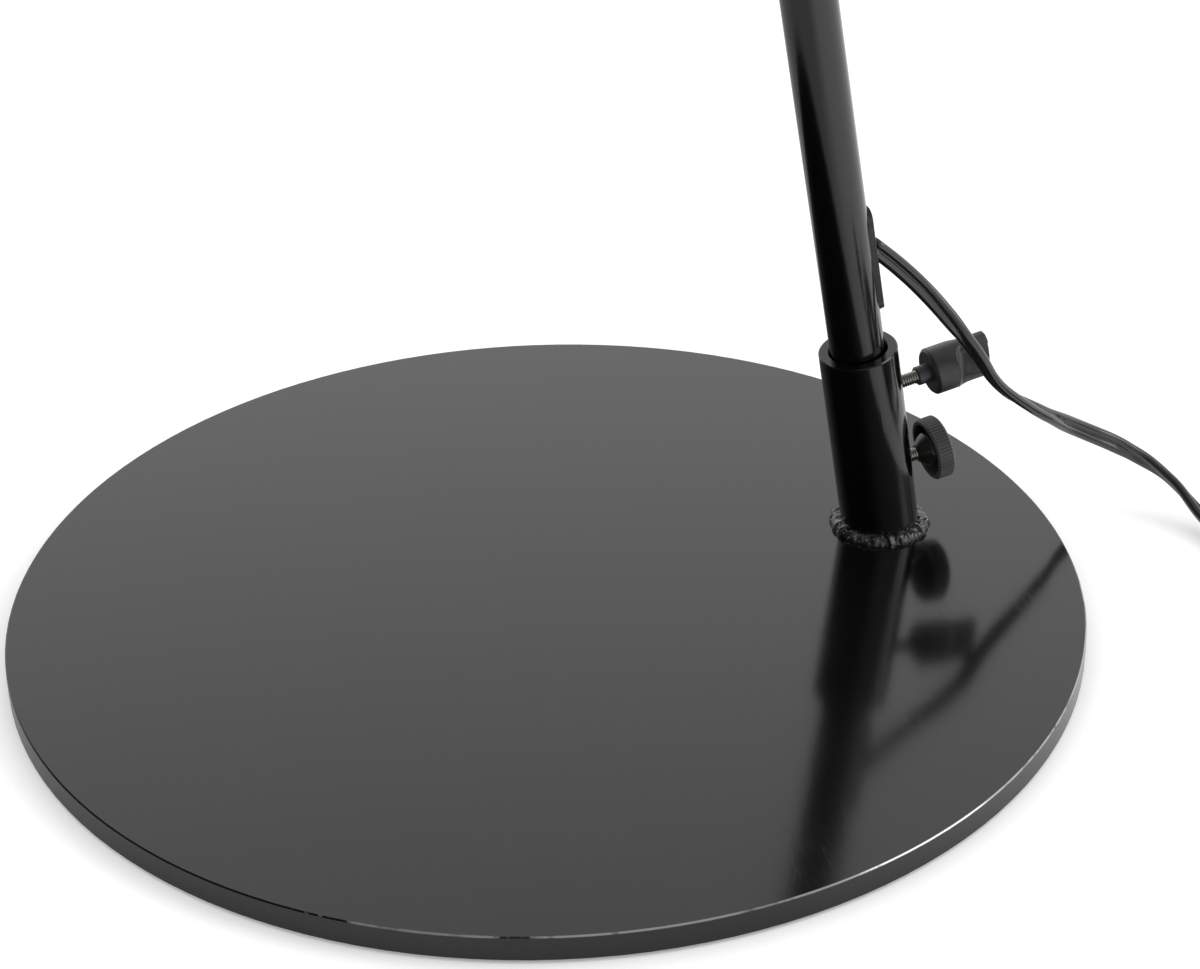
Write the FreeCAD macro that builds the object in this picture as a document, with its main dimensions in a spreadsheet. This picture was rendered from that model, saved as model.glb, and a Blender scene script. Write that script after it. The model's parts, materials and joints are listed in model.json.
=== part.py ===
import FreeCAD, Part
import math
import os

import Sketcher

Vec = FreeCAD.Vector
Rot = FreeCAD.Rotation
Place = FreeCAD.Placement
X_AXIS, Y_AXIS, Z_AXIS = Vec(1, 0, 0), Vec(0, 1, 0), Vec(0, 0, 1)

# Driving dimensions, in millimetres, degrees and counts.
driving = {
    # base plate and floor pads
    "plate_dia": 330, "plate_thick": 8, "plate_chamfer": 0.4,
    "pad_dia": 30, "pad_thick": 1, "pad_circle": 270, "pad_count": 6,
    # socket tube welded to the plate, leaning towards the plate's middle
    "socket_dia": 24.6, "socket_bore": 18, "socket_height": 65.1, "socket_reach": 113.8,
    "socket_lean": 8.3, "socket_chamfer": 0.35, "weld_size": 3.5,
    # clamp screws through the socket wall
    "screw_dia": 4.2, "screw_pitch": 0.79, "screw_depth": 0.45, "screw_clear": 0.08,
    "screw_tip_gap": 0.3, "first_crest": 0.2, "wing_height": 48.2, "thumb_height": 20.3,
    # wing knob: every start is measured out from the socket's wall
    "wing_collar_start": 5.7, "wing_collar_dia": 6, "wing_collar_long": 4.4,
    "wing_hub_dia": 15, "wing_hub_long": 7.9, "wing_long": 20.7, "wing_blade": 3.2,
    "wing_scoop": 5, "wing_bead": 4.4, "wing_seat": 9, "wing_end_radius": 36,
    # knurled thumb knob
    "thumb_start": 6.3, "thumb_dia": 20, "thumb_thick": 5.6, "thumb_web": 2, "thumb_rim": 1.5,
    "thumb_teeth": 56, "thumb_tooth": 0.32, "thumb_hub_dia": 12.4, "thumb_hub_tip": 6.4,
    "thumb_hub_proud": 3.4, "thumb_skin": 0.6,
    # pole
    "pole_dia": 17, "pole_wall": 1.2, "pole_lean": 8.8, "pole_shift": -0.2, "pole_foot_gap": 0.3,
    "lower_pole_long": 640, "upper_pole_long": 600,
    "coupler_dia": 20, "coupler_collar": 16, "coupler_stub": 28, "coupler_bore": 8,
    # cord slot and its grommet
    "slot_height": 94.1, "slot_turn": -9.5, "slot_long": 32, "slot_wide": 9.2,
    "lip_long": 35.4, "lip_wide": 12, "lip_proud": 1.5, "opening_long": 29, "opening_wide": 6.8,
    # flat twin cord
    "cord_wide": 6.2, "exit_height": 97.8, "exit_slope": 35, "exit_gap": 0.3,
    "coil_inner": 24.8, "coil_pitch": 6.9, "coil_turns": 3.5, "coil_layer": 6.9,
    "coil_x": 91, "coil_y": 264, "coil_turned": -85, "entry_run": 20,
    # gooseneck
    "neck_dia": 12, "neck_bore": 3.8, "neck_long": 400, "neck_links": 10, "neck_bend": 138,
    "ball_dia": 9.2, "ball_clear": 0.12, "ball_neck": 6, "cup_back": 1, "shoulder_back": 3.4,
    "rib_count": 11, "rib_depth": 0.55, "ferrule_dia": 19, "ferrule_long": 24, "ferrule_stub": 22,
    # lamp head, measured along the head from the last neck joint
    "head_ferrule": 18, "nipple_dia": 10, "nipple_long": 9, "housing_dia": 37, "housing_long": 46,
    "housing_wall": 1.6, "switch_station": 22, "shaft_dia": 5, "shaft_clear": 0.06,
    "switch_size": 13, "switch_floor": 2, "knob_dia": 15, "knob_long": 11, "knob_gap": 0.3,
    "knob_skin": 1.8, "knob_grip": 5.2, "knob_base": 3,
    "holder_dia": 29.4, "holder_long": 47, "holder_wall": 1.2, "holder_inside": 15,
    "holder_floor": 4, "shell_wall": 0.4, "shell_long": 23, "shell_sunk": 2,
    "contact_dia": 10, "contact_high": 2.6,
    "shade_thick": 1.2, "shade_neck_dia": 44, "shade_neck_long": 20, "shade_mouth_dia": 136,
    "shade_long": 142, "shade_lip": 2, "ring_thick": 4, "ring_dia": 36,
    "bulb_base_dia": 25.8, "bulb_base_long": 24, "cap_cone": 13, "cap_tip": 10,
    "bulb_dia": 60, "bulb_long": 82, "bulb_wall": 1,
    # mains plug
    "plug_wide": 23, "plug_high": 15, "plug_long": 30, "blade_wide": 6.3, "blade_thick": 1.5,
    "blade_long": 16, "blade_apart": 12.7,
}

doc = FreeCAD.newDocument("reading_lamp")
sheet = doc.addObject("Spreadsheet::Sheet", "sizes")
for row, (alias, value) in enumerate(driving.items(), 1):
    sheet.set(f"A{row}", alias)
    sheet.set(f"B{row}", str(value))
    sheet.setAlias(f"B{row}", alias)
doc.recompute()


def size(alias):
    """A driving dimension, read from the sheet."""
    return float(sheet.get(alias))


def bound(text):
    """An expression on the sheet: each alias in the text gets the sheet's name."""
    out, word = "", ""
    for letter in text + " ":
        if letter.isalnum() or letter in "._":
            word += letter
            continue
        out += f"{sheet.Name}.{word}" if word in driving else word
        out += letter
        word = ""
    return out.strip()


def bind(thing, **rules):
    """Binds properties of a document object to expressions on the sheet."""
    for prop, text in rules.items():
        thing.setExpression(prop, bound(text))
    return thing


def plane_of(body, role):
    for feature in body.Origin.OriginFeatures:
        if feature.Role == role:
            return feature
    raise ValueError(role)


def turned(label, outline, place=None):
    """A body turned about its own Z axis from a closed outline of (radius, height) expressions."""
    body = doc.addObject("PartDesign::Body", label)
    sketch = body.newObject("Sketcher::SketchObject", label + "_outline")
    sketch.AttachmentSupport = (plane_of(body, "XZ_Plane"), [""])
    sketch.MapMode = "FlatFace"
    count = len(outline)
    rough = [Vec(20 + 9 * math.cos(6.28 * k / count), 20 + 9 * math.sin(6.28 * k / count), 0)
             for k in range(count)]
    for k in range(count):
        sketch.addGeometry(Part.LineSegment(rough[k], rough[(k + 1) % count]), False)
    for k in range(count):
        sketch.addConstraint(Sketcher.Constraint("Coincident", k, 2, (k + 1) % count, 1))
    for k, (radius, height) in enumerate(outline):
        for kind, text, now in (("DistanceX", radius, rough[k].x), ("DistanceY", height, rough[k].y)):
            index = sketch.addConstraint(Sketcher.Constraint(kind, -1, 1, k, 1, now))
            sketch.setExpression(f"Constraints[{index}]", bound(text))
    turn = body.newObject("PartDesign::Revolution", label + "_turn")
    turn.Profile = sketch
    turn.ReferenceAxis = (sketch, ["V_Axis"])
    turn.Angle = 360
    body.Tip = turn
    if place:
        body.Placement = place
    return body


def solid(kind, label, place=None, **rules):
    """A Part primitive with its sizes bound to the sheet."""
    thing = bind(doc.addObject("Part::" + kind, label), **rules)
    if place:
        thing.Placement = place
    return thing


def fused(label, *things):
    thing = doc.addObject("Part::MultiFuse", label)
    thing.Shapes = list(things)
    return thing


def less(label, base, *tools):
    """The base with each tool cut away."""
    thing = doc.addObject("Part::Cut", label)
    thing.Base = base
    thing.Tool = tools[0] if len(tools) == 1 else fused(label + "_tools", *tools)
    return thing


def common(label, base, tool):
    thing = doc.addObject("Part::Common", label)
    thing.Base = base
    thing.Tool = tool
    return thing


def shaped(label, shape, place=None):
    """A piece whose form no primitive gives, from the sheet's values."""
    thing = doc.addObject("Part::Feature", label)
    thing.Shape = shape
    if place:
        thing.Placement = place
    return thing


def grouped(label, things, place=None):
    thing = doc.addObject("Part::Compound", label)
    thing.Links = things
    if place:
        thing.Placement = place
    return thing


def at(x=0, y=0, z=0, axis=X_AXIS, angle=0):
    return Place(Vec(x, y, z), Rot(axis, angle))


nodes = []


def node(thing, label):
    """Marks a finished piece and gives it its name."""
    thing.Label = label
    nodes.append((label, thing))
    return thing


# Frames. The socket frame stands where the socket's axis meets the plate's top face, its Z along
# the socket and its Y out through the clamp screws; the pole frame is at the pole's foot.
plate_top = size("pad_thick") + size("plate_thick")
socket_frame = at(0, size("socket_reach"), plate_top, X_AXIS, size("socket_lean"))
mouth_point = socket_frame.multVec(Vec(0, size("pole_shift"), size("socket_height")))
pole_turn = Rot(X_AXIS, size("pole_lean"))
pole_up = pole_turn.multVec(Z_AXIS)
foot_z = (plate_top + size("pole_foot_gap")
          + size("pole_dia") / 2 * math.sin(math.radians(size("pole_lean"))))
pole_foot = mouth_point - pole_up * ((mouth_point.z - foot_z) / pole_up.z)
pole_frame = Place(pole_foot, pole_turn)
socket_mouth = (mouth_point - pole_foot).Length
slot_frame = pole_frame * at(0, 0, socket_mouth - size("socket_height"), Z_AXIS, -size("slot_turn"))
out_turn = Rot(X_AXIS, -90)   # turns a piece's Z to the frame's +Y


def along_y(y=0, z=0):
    """A place in the socket frame for a piece that points out through the clamp screws."""
    return socket_frame * Place(Vec(0, y, z), out_turn)


# ---- base plate, pads, socket and weld -----------------------------------------------------------
def make_base():
    edge = "plate_dia / 2 - plate_chamfer"
    plate = turned("base_plate", [
        ("0", "0"), (edge, "0"), ("plate_dia / 2", "plate_chamfer"),
        ("plate_dia / 2", "plate_thick - plate_chamfer"), (edge, "plate_thick"), ("0", "plate_thick")],
        at(z=size("pad_thick")))
    node(plate, "base_plate")

    pads = [solid("Cylinder", "pad_middle", None, Radius="pad_dia / 2", Height="pad_thick")]
    count = int(size("pad_count"))
    for k in range(count):
        angle = math.radians(360 / count * k)
        spot = at(size("pad_circle") / 2 * math.cos(angle), size("pad_circle") / 2 * math.sin(angle))
        pads.append(solid("Cylinder", f"pad_{k + 1}", spot, Radius="pad_dia / 2", Height="pad_thick"))
    node(grouped("floor_pads", pads), "floor_pads")

    sunk = size("socket_dia") / 2   # how far the blank runs below the plate before it is trimmed
    blank = turned("socket_blank", [
        ("socket_bore / 2", "0"), ("socket_dia / 2", "0"),
        ("socket_dia / 2", "socket_height + socket_dia / 2 - socket_chamfer"),
        ("socket_dia / 2 - socket_chamfer", "socket_height + socket_dia / 2"),
        ("socket_bore / 2 + socket_chamfer", "socket_height + socket_dia / 2"),
        ("socket_bore / 2", "socket_height + socket_dia / 2 - socket_chamfer")],
        socket_frame * at(z=-sunk))
    trim = solid("Box", "foot_trim", at(-size("socket_dia"), size("socket_reach") - size("socket_dia"),
                                        plate_top - 2 * size("socket_dia")),
                 Length="2 * socket_dia", Width="2 * socket_dia", Height="2 * socket_dia")
    holes = [solid("Cylinder", name, along_y(0, size(height)),
                   Radius="screw_dia / 2 + screw_clear", Height="socket_dia")
             for name, height in (("wing_hole", "wing_height"), ("thumb_hole", "thumb_height"))]
    node(less("socket_tube", blank, trim, *holes), "pole_socket")

    ring = solid("Torus", "weld_ring", socket_frame, Radius1="socket_dia / 2", Radius2="weld_size")
    below = solid("Box", "weld_trim", at(-size("socket_dia"), size("socket_reach") - size("socket_dia"),
                                         plate_top - 2 * size("socket_dia")),
                  Length="2 * socket_dia", Width="2 * socket_dia", Height="2 * socket_dia")
    core = solid("Cylinder", "weld_core", socket_frame * at(z=-sunk),
                 Radius="socket_dia / 2", Height="socket_dia * 2")
    node(less("weld_bead", ring, below, core), "socket_weld")


# ---- clamp screws --------------------------------------------------------------------------------
def threaded_stud(label, height, head, seat):
    """A stud from just off the pole, out through the socket wall, into its knob."""
    pole_side = (pole_frame.inverse() * socket_frame).multVec(Vec(0, 0, height)).y
    tip = size("pole_dia") / 2 - pole_side + size("screw_tip_gap")
    start = size("socket_dia") / 2 + size("first_crest")
    stop = size("socket_dia") / 2 + head
    end = stop + seat
    radius, root = size("screw_dia") / 2, size("screw_dia") / 2 - size("screw_depth")
    pitch = size("screw_pitch")
    points = [(0, tip), (root, tip), (radius, tip + size("screw_depth"))]
    crest = start
    while crest + pitch < stop:
        points += [(radius, crest), (root, crest + pitch * 0.42), (root, crest + pitch * 0.58),
                   (radius, crest + pitch)]
        crest += pitch
    points += [(radius, end), (0, end)]
    slim = [Vec(r, 0, h) for r, h in points]
    kept = [p for k, p in enumerate(slim) if k == 0 or (p - slim[k - 1]).Length > 1e-6]
    face = Part.Face(Part.makePolygon(kept + [kept[0]]))
    return shaped(label, face.revolve(Vec(), Z_AXIS, 360), along_y(0, height))


def make_wing_screw():
    wall = size("socket_dia") / 2
    height = size("wing_height")
    collar_start = wall + size("wing_collar_start")
    hub_start = collar_start + size("wing_collar_long")
    head = size("wing_collar_start") + size("wing_collar_long")
    node(threaded_stud("wing_stud", height, head, size("wing_seat")), "wing_screw_stud")
    collar = turned("wing_collar", [
        ("screw_dia / 2 + screw_clear", "0"), ("wing_collar_dia / 2 - 0.4", "0"),
        ("wing_collar_dia / 2", "0.4"), ("wing_collar_dia / 2", "wing_collar_long"),
        ("screw_dia / 2 + screw_clear", "wing_collar_long")], along_y(collar_start, height))
    node(collar, "wing_screw_collar")

    place = along_y(hub_start, height)
    rounding = "wing_hub_dia / 2 - 0.8"
    round_hub = turned("wing_round", [
        ("0", "0"), (rounding, "0"), ("wing_hub_dia / 2", "0.8"), ("wing_hub_dia / 2", "wing_long"),
        ("0", "wing_long")], place)
    # the two sides of the blade are cut back, with a round scoop where blade and hub meet
    half, scoop, blade = size("wing_hub_dia"), size("wing_scoop"), size("wing_blade") / 2
    tools = []
    for side in (-1, 1):
        middle = side * (blade + scoop)
        tools.append(solid("Cylinder", f"scoop_{side + 2}",
                           place * at(middle, half, size("wing_hub_long") + scoop, X_AXIS, 90),
                           Radius="wing_scoop", Height="2 * wing_hub_dia"))
        corner = blade if side > 0 else -blade - half
        tools.append(solid("Box", f"flat_{side + 2}",
                           place * at(corner, -half, size("wing_hub_long") + scoop),
                           Length="wing_hub_dia", Width="2 * wing_hub_dia", Height="wing_long"))
    winged = less("wing_cut", round_hub, *tools)
    bead_reach = (size("wing_hub_dia") - size("wing_bead")) / 2
    beads = [solid("Cylinder", f"bead_{side + 2}",
                   place * at(0, side * bead_reach, size("wing_hub_long")),
                   Radius="wing_bead / 2", Height="wing_long - wing_hub_long") for side in (-1, 1)]
    end_round = solid("Cylinder", "wing_end",
                      place * at(-half, 0, size("wing_long") - size("wing_end_radius"), Y_AXIS, 90),
                      Radius="wing_end_radius", Height="2 * wing_hub_dia")
    rounded = common("wing_rounded", fused("wing_beaded", winged, *beads), end_round)
    hub_back = solid("Cylinder", "wing_back", place,
                     Radius="wing_hub_dia / 2 - 0.8", Height="wing_hub_long")
    whole = fused("wing_whole", rounded, hub_back)
    seat = solid("Cylinder", "wing_seat_hole", place, Radius="screw_dia / 2", Height="wing_seat")
    node(less("wing_key", whole, seat), "wing_knob")


def make_thumb_screw():
    wall = size("socket_dia") / 2
    height = size("thumb_height")
    start = wall + size("thumb_start")
    web = size("thumb_start") + size("thumb_thick") - size("thumb_web")
    seat = size("thumb_web") - size("thumb_skin")
    node(threaded_stud("thumb_stud", height, web, seat), "thumb_screw_stud")
    deep = "thumb_hub_proud + thumb_thick - thumb_web"
    hub = turned("thumb_cone", [
        ("screw_dia / 2 + screw_clear", "0"), ("thumb_hub_tip / 2 - 0.5", "0"),
        ("thumb_hub_tip / 2", "0.5"), ("thumb_hub_dia * 0.36", "thumb_hub_proud * 0.55"),
        ("thumb_hub_dia * 0.45", "thumb_hub_proud"), ("thumb_hub_dia / 2", "thumb_hub_proud * 1.7"),
        ("thumb_hub_dia / 2", deep), ("screw_dia / 2 + screw_clear", deep)],
        along_y(start - size("thumb_hub_proud"), height))
    node(hub, "thumb_screw_hub")

    # the rim is an outline of small teeth, hollowed from the socket's side
    teeth = int(size("thumb_teeth"))
    outline = []
    for k in range(teeth):
        for share, depth in ((0, 0), (0.35, 0), (0.6, 1), (0.75, 1)):
            angle = 2 * math.pi * (k + share) / teeth
            radius = size("thumb_dia") / 2 - depth * size("thumb_tooth")
            outline.append(Vec(radius * math.cos(angle), radius * math.sin(angle), 0))
    place = along_y(start, height)
    blank = Part.Face(Part.makePolygon(outline + [outline[0]])).extrude(Vec(0, 0, size("thumb_thick")))
    toothed = shaped("thumb_toothed", blank, place)
    limit = turned("thumb_limit", [
        ("0", "0"), ("thumb_dia / 2 - 0.5", "0"), ("thumb_dia / 2", "0.5"),
        ("thumb_dia / 2", "thumb_thick - 0.7"), ("thumb_dia / 2 - 0.7", "thumb_thick"),
        ("0", "thumb_thick")], place)
    hollow = solid("Cylinder", "thumb_hollow", place,
                   Radius="thumb_dia / 2 - thumb_rim", Height="thumb_thick - thumb_web")
    hole = solid("Cylinder", "thumb_seat_hole", place * at(z=size("thumb_thick") - size("thumb_web")),
                 Radius="screw_dia / 2", Height="thumb_web - thumb_skin")
    node(less("thumb_wheel", common("thumb_rimmed", toothed, limit), hollow, hole), "thumb_knob")


# ---- pole, slot and grommet ----------------------------------------------------------------------
def tube(label, long, place):
    return turned(label, [
        ("pole_dia / 2 - pole_wall", "0"), ("pole_dia / 2", "0"), ("pole_dia / 2", long),
        ("pole_dia / 2 - pole_wall", long)], place)


def oblong(label, long, wide, depth):
    """A prism with round ends, from the pole's middle out through the slot side."""
    place = slot_frame * Place(Vec(0, 0, size("slot_height")), out_turn)
    run = (size(long) - size(wide)) / 2
    ends = [solid("Cylinder", f"{label}_end_{k + 1}", place * at(y=shift),
                  Radius=f"{wide} / 2", Height=depth) for k, shift in enumerate((-run, run))]
    middle = solid("Box", label + "_middle", place * at(-size(wide) / 2, -run),
                   Length=wide, Width=f"{long} - {wide}", Height=depth)
    return fused(label, middle, *ends)


def make_pole():
    lower = tube("lower_tube", "lower_pole_long", pole_frame)
    node(less("slotted_tube", lower, oblong("slot_cut", "slot_long", "slot_wide", "pole_dia")),
         "lower_pole")

    lip = solid("Cylinder", "lip_round", pole_frame, Radius="pole_dia / 2 + lip_proud",
                Height="lower_pole_long / 2")
    lip_part = less("lip_shell", common("lip_block", lip, oblong("lip_form", "lip_long", "lip_wide",
                                                               "pole_dia")),
                    solid("Cylinder", "lip_inside", pole_frame, Radius="pole_dia / 2",
                          Height="lower_pole_long / 2"))
    throat_round = solid("Cylinder", "throat_round", pole_frame, Radius="pole_dia / 2",
                         Height="lower_pole_long / 2")
    throat = less("throat_shell", common("throat_block", throat_round,
                                         oblong("throat_form", "slot_long", "slot_wide", "pole_dia")),
                  solid("Cylinder", "throat_inside", pole_frame, Radius="pole_dia / 2 - pole_wall",
                        Height="lower_pole_long / 2"))
    whole = fused("grommet_whole", lip_part, throat)
    node(less("grommet_ring", whole, oblong("opening", "opening_long", "opening_wide", "2 * pole_dia")),
         "slot_grommet")

    joint = size("lower_pole_long")
    inner = "pole_dia / 2 - pole_wall"
    top = "2 * coupler_stub + coupler_collar"
    coupler = turned("coupler_body", [
        ("coupler_bore / 2", "0"), (inner + " - 0.5", "0"), (inner, "0.5"), (inner, "coupler_stub"),
        ("coupler_dia / 2 - 0.8", "coupler_stub"), ("coupler_dia / 2", "coupler_stub + 0.8"),
        ("coupler_dia / 2", "coupler_stub + coupler_collar - 0.8"),
        ("coupler_dia / 2 - 0.8", "coupler_stub + coupler_collar"),
        (inner, "coupler_stub + coupler_collar"), (inner, top + " - 0.5"), (inner + " - 0.5", top),
        ("coupler_bore / 2", top)], pole_frame * at(z=joint - size("coupler_stub")))
    node(coupler, "pole_coupler")
    upper_start = joint + size("coupler_collar")
    node(tube("upper_tube", "upper_pole_long", pole_frame * at(z=upper_start)), "upper_pole")
    return upper_start + size("upper_pole_long")


# ---- cords ---------------------------------------------------------------------------------------
def eased(points):
    """Straight runs joined by tangent arcs, each as large as its two runs allow."""
    edges, here, radii = [], points[0], []
    for before, corner, after in zip(points, points[1:], points[2:]):
        back, on = before - corner, after - corner
        shorter = min(back.Length, on.Length)
        turn = math.pi - back.getAngle(on)
        reach = 0.45 * shorter
        radius = reach / math.tan(turn / 2)
        first = corner + back.normalize() * reach
        last = corner + on.normalize() * reach
        inward = (first + last) * 0.5 - corner
        middle = corner + inward.normalize() * (radius / math.cos(turn / 2) - radius)
        edges.append(Part.LineSegment(here, first).toShape())
        edges.append(Part.Arc(first, middle, last).toShape())
        radii.append(radius)
        here = last
    edges.append(Part.LineSegment(here, points[-1]).toShape())
    return Part.Wire(edges), radii


def piped(wire, start, direction, radius):
    ring = Part.Wire(Part.makeCircle(radius, start, direction))
    return wire.makePipeShell([ring], True, False)


def cord_tube(name, points):
    """A round tube of the cord's width along a hand-laid route."""
    radius = size("cord_wide") / 2
    wire, radii = eased([Vec(*p) for p in points])
    body = piped(wire, Vec(*points[0]), Vec(*points[1]) - Vec(*points[0]), radius)
    share = body.Volume / (math.pi * radius ** 2 * wire.Length)
    print(name, "length", round(wire.Length, 1), "volume share", round(share, 4),
          "radii", [round(r) for r in radii])
    return body


def coil_point(share):
    """A point on the coil: a spiral in on the floor, a climb, and a spiral out above it."""
    turns = 2 * size("coil_turns") * share
    half = size("coil_turns")
    inner, pitch = size("coil_inner"), size("coil_pitch")
    radius = inner + pitch * abs(turns - half)
    climb = min(max((turns - half + 0.25) / 0.5, 0), 1)
    if abs(turns - half) < 0.25:
        radius = inner + pitch * (2 * (turns - half) ** 2 + 0.125)
    height = size("cord_wide") / 2 + size("coil_layer") * climb * climb * (3 - 2 * climb)
    angle = math.radians(size("coil_turned")) + 2 * math.pi * turns
    return Vec(size("coil_x") + radius * math.cos(angle), size("coil_y") + radius * math.sin(angle), height)


def coil_way(share):
    """The coil's direction at a point."""
    step = 1e-5
    low, high = max(share - step, 0), min(share + step, 1)
    way = (coil_point(high) - coil_point(low)).normalize()
    if share in (0, 1):
        way.z = 0
    return way.normalize()


def arc_between(start, corner, end):
    """The arc that leaves start towards the corner and ends at end, its corner as far from both."""
    chord_middle = (start + end) * 0.5
    rise = corner - chord_middle
    half = (end - start).Length / 2
    bow = half * math.tan(math.atan2(rise.Length, half) / 2)
    return Part.Arc(start, chord_middle + rise.normalize() * bow, end).toShape()


def biarc(p, way_p, q, way_q):
    """Two arcs that join in the middle and keep both end directions."""
    gap, both = q - p, way_p + way_q
    spread = 2 * (1 - way_p.dot(way_q))
    along = gap.dot(both)
    reach = (math.sqrt(along ** 2 + spread * gap.dot(gap)) - along) / spread
    first, last = p + way_p * reach, q - way_q * reach
    join = (first + last) * 0.5
    return [arc_between(p, first, join), arc_between(join, last, q)]


def make_coil():
    steps = int(math.ceil(2 * size("coil_turns") * 4))
    marks = [k / steps for k in range(steps + 1)]
    spots = [coil_point(m) for m in marks]
    ways = [coil_way(m) for m in marks]
    width = size("cord_wide")
    entry, leave = spots[0] - ways[0] * width, spots[-1] + ways[-1] * width
    edges = [Part.LineSegment(entry, spots[0]).toShape()]
    for k in range(steps):
        edges += biarc(spots[k], ways[k], spots[k + 1], ways[k + 1])
    edges.append(Part.LineSegment(spots[-1], leave).toShape())
    wire = Part.Wire(edges)
    body = piped(wire, entry, ways[0], width / 2)
    # least gap from the tube to itself, on points a tenth of a turn or more apart
    dots = [coil_point(k / 1300) for k in range(1301)]
    apart = int(1300 / (2 * size("coil_turns")) * 0.5)
    least = min((dots[i] - dots[j]).Length for i in range(0, 1301, 2)
                for j in range(i + apart, 1301, 2)) - width
    print("cord_coil length", round(wire.Length, 1), "least gap to itself", round(least, 2),
          "volume share", round(body.Volume / (math.pi * width ** 2 / 4 * wire.Length), 4))
    node(shaped("coil_tube", body), "cord_coil")
    return entry, ways[0], leave, ways[-1]


# The free stretch of cord from the grommet to the floor and out towards the coil.
cord_route = [
    (-1.1, 122.3, 95.5),
    (12.4, 138.6, 72.2),
    (13.0, 146.7, 56.8),
    (10.5, 166.1, 41.7),
    (4.0, 180.7, 30.6),
    (6.9, 197.0, 21.3),
    (17.4, 208.9, 13.3),
    (32.4, 213.1, 4.7),
    (50.2, 213.7, 3.4),
]

# Steps of the free tail beyond the coil's end, ahead and aside; it sinks evenly to the plug's height.
tail_steps = [(13, 0.2), (30, 2.2), (47, 7.0)]
plug_ahead, plug_aside = 60, 13.2


def make_cords():
    exit_z = size("exit_height")
    slope = math.tan(math.radians(size("exit_slope")))
    lip = size("pole_dia") / 2 + size("lip_proud")
    beyond = lip + size("cord_wide")
    neck_end = size("lower_pole_long") + size("coupler_collar") + size("upper_pole_long")
    shift = (slot_frame.inverse() * pole_frame).multVec(Vec(0, 0, neck_end)).z
    inner_route = [Vec(0, beyond, exit_z - (beyond - lip) * slope), Vec(0, 0, exit_z + lip * slope),
                   Vec(0, 0, shift - size("ferrule_stub") - 2)]
    wire, radii = eased(inner_route)
    lead = piped(wire, inner_route[0], inner_route[1] - inner_route[0], size("cord_wide") / 2)
    print("pole_lead length", round(wire.Length, 1), "least radius", round(min(radii), 1))
    lead_tube = shaped("lead_tube", lead, slot_frame)
    inside = solid("Cylinder", "lead_limit", pole_frame, Radius="pole_dia / 2 + lip_proud",
                   Height="lower_pole_long + coupler_collar + upper_pole_long")
    node(common("lead_inside", lead_tube, inside), "pole_lead")

    entry, entry_way, leave, leave_way = make_coil()
    start = slot_frame.multVec(Vec(0, lip - size("cord_wide"), exit_z + size("cord_wide") * slope))
    route = [(start.x, start.y, start.z)] + cord_route
    route += [tuple(entry - entry_way * size("entry_run") + Vec(0, 0.9, 0.3)), tuple(entry)]
    free = shaped("free_tube", cord_tube("cord_lead", route))
    clear = solid("Cylinder", "lead_clear", pole_frame, Radius="pole_dia / 2 + lip_proud + exit_gap",
                  Height="lower_pole_long / 2")
    node(less("free_lead", free, clear), "cord_lead")

    across = Z_AXIS.cross(leave_way)
    sink = (size("plug_high") / 2 - leave.z) / len(tail_steps)
    tail = [tuple(leave)]
    tail += [tuple(leave + leave_way * ahead + across * aside + Vec(0, 0, sink * step))
             for step, (ahead, aside) in enumerate(tail_steps, 1)]
    plug_spot = leave + leave_way * plug_ahead + across * plug_aside
    plug_spot.z = size("plug_high") / 2
    tail.append(tuple(plug_spot))
    node(shaped("tail_tube", cord_tube("cord_tail", tail)), "cord_tail")
    level = plug_spot - Vec(*tail[-2])
    level.z = 0
    return plug_spot, level.normalize()


def make_plug(spot, way):
    """The plug, its front away from the cord, and its two flat blades."""
    side = Z_AXIS.cross(way)
    turn = Rot(side, way, Z_AXIS, "ZYX")
    frame = Place(spot, turn)
    half_w, half_h, long = size("plug_wide") / 2, size("plug_high") / 2, size("plug_long")
    back = size("cord_wide") / 2 + 1.6

    def section(wide, high, y):
        """An eight-sided section across the plug."""
        cut = min(wide, high) * 0.35
        corners = [(-wide + cut, -high), (wide - cut, -high), (wide, -high + cut), (wide, high - cut),
                   (wide - cut, high), (-wide + cut, high), (-wide, high - cut), (-wide, -high + cut)]
        points = [Vec(x, y, z) for x, z in corners]
        return Part.makePolygon(points + [points[0]])

    loft = Part.makeLoft([section(back, back, 0), section(back + 0.6, back + 0.4, long * 0.3),
                          section(half_w, half_h, long * 0.62), section(half_w, half_h, long)], True, True)
    plug = shaped("plug_block", loft, frame)
    node(plug, "plug_body")
    blades = [solid("Box", f"blade_{k + 1}",
                    frame * at(s * size("blade_apart") / 2 - size("blade_thick") / 2, long,
                               -size("blade_wide") / 2),
                    Length="blade_thick", Width="blade_long", Height="blade_wide")
              for k, s in enumerate((-1, 1))]
    node(grouped("blade_pair", blades), "plug_blades")


# ---- gooseneck -----------------------------------------------------------------------------------
link_long = size("neck_long") / size("neck_links")


def cup_and_ball(label, sleeve, ball_at, cup_at, place):
    """Finishes a neck piece: its ball at one end, its cup and bore at the other, where it has them."""
    thing = sleeve
    if ball_at is not None:
        ball = solid("Sphere", label + "_ball", place * at(z=ball_at), Radius="ball_dia / 2")
        stalk = solid("Cylinder", label + "_stalk", place * at(z=ball_at - size("shoulder_back") - 1),
                      Radius="ball_neck / 2", Height="shoulder_back + 1")
        thing = fused(label + "_with_ball", thing, ball, stalk)
    tools = [solid("Cylinder", label + "_bore", place * at(z=-60), Radius="neck_bore / 2",
                   Height="neck_long")]
    if cup_at is not None:
        tools.append(solid("Sphere", label + "_cup", place * at(z=cup_at),
                           Radius="ball_dia / 2 + ball_clear"))
    return less(label + "_done", thing, *tools)


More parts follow.
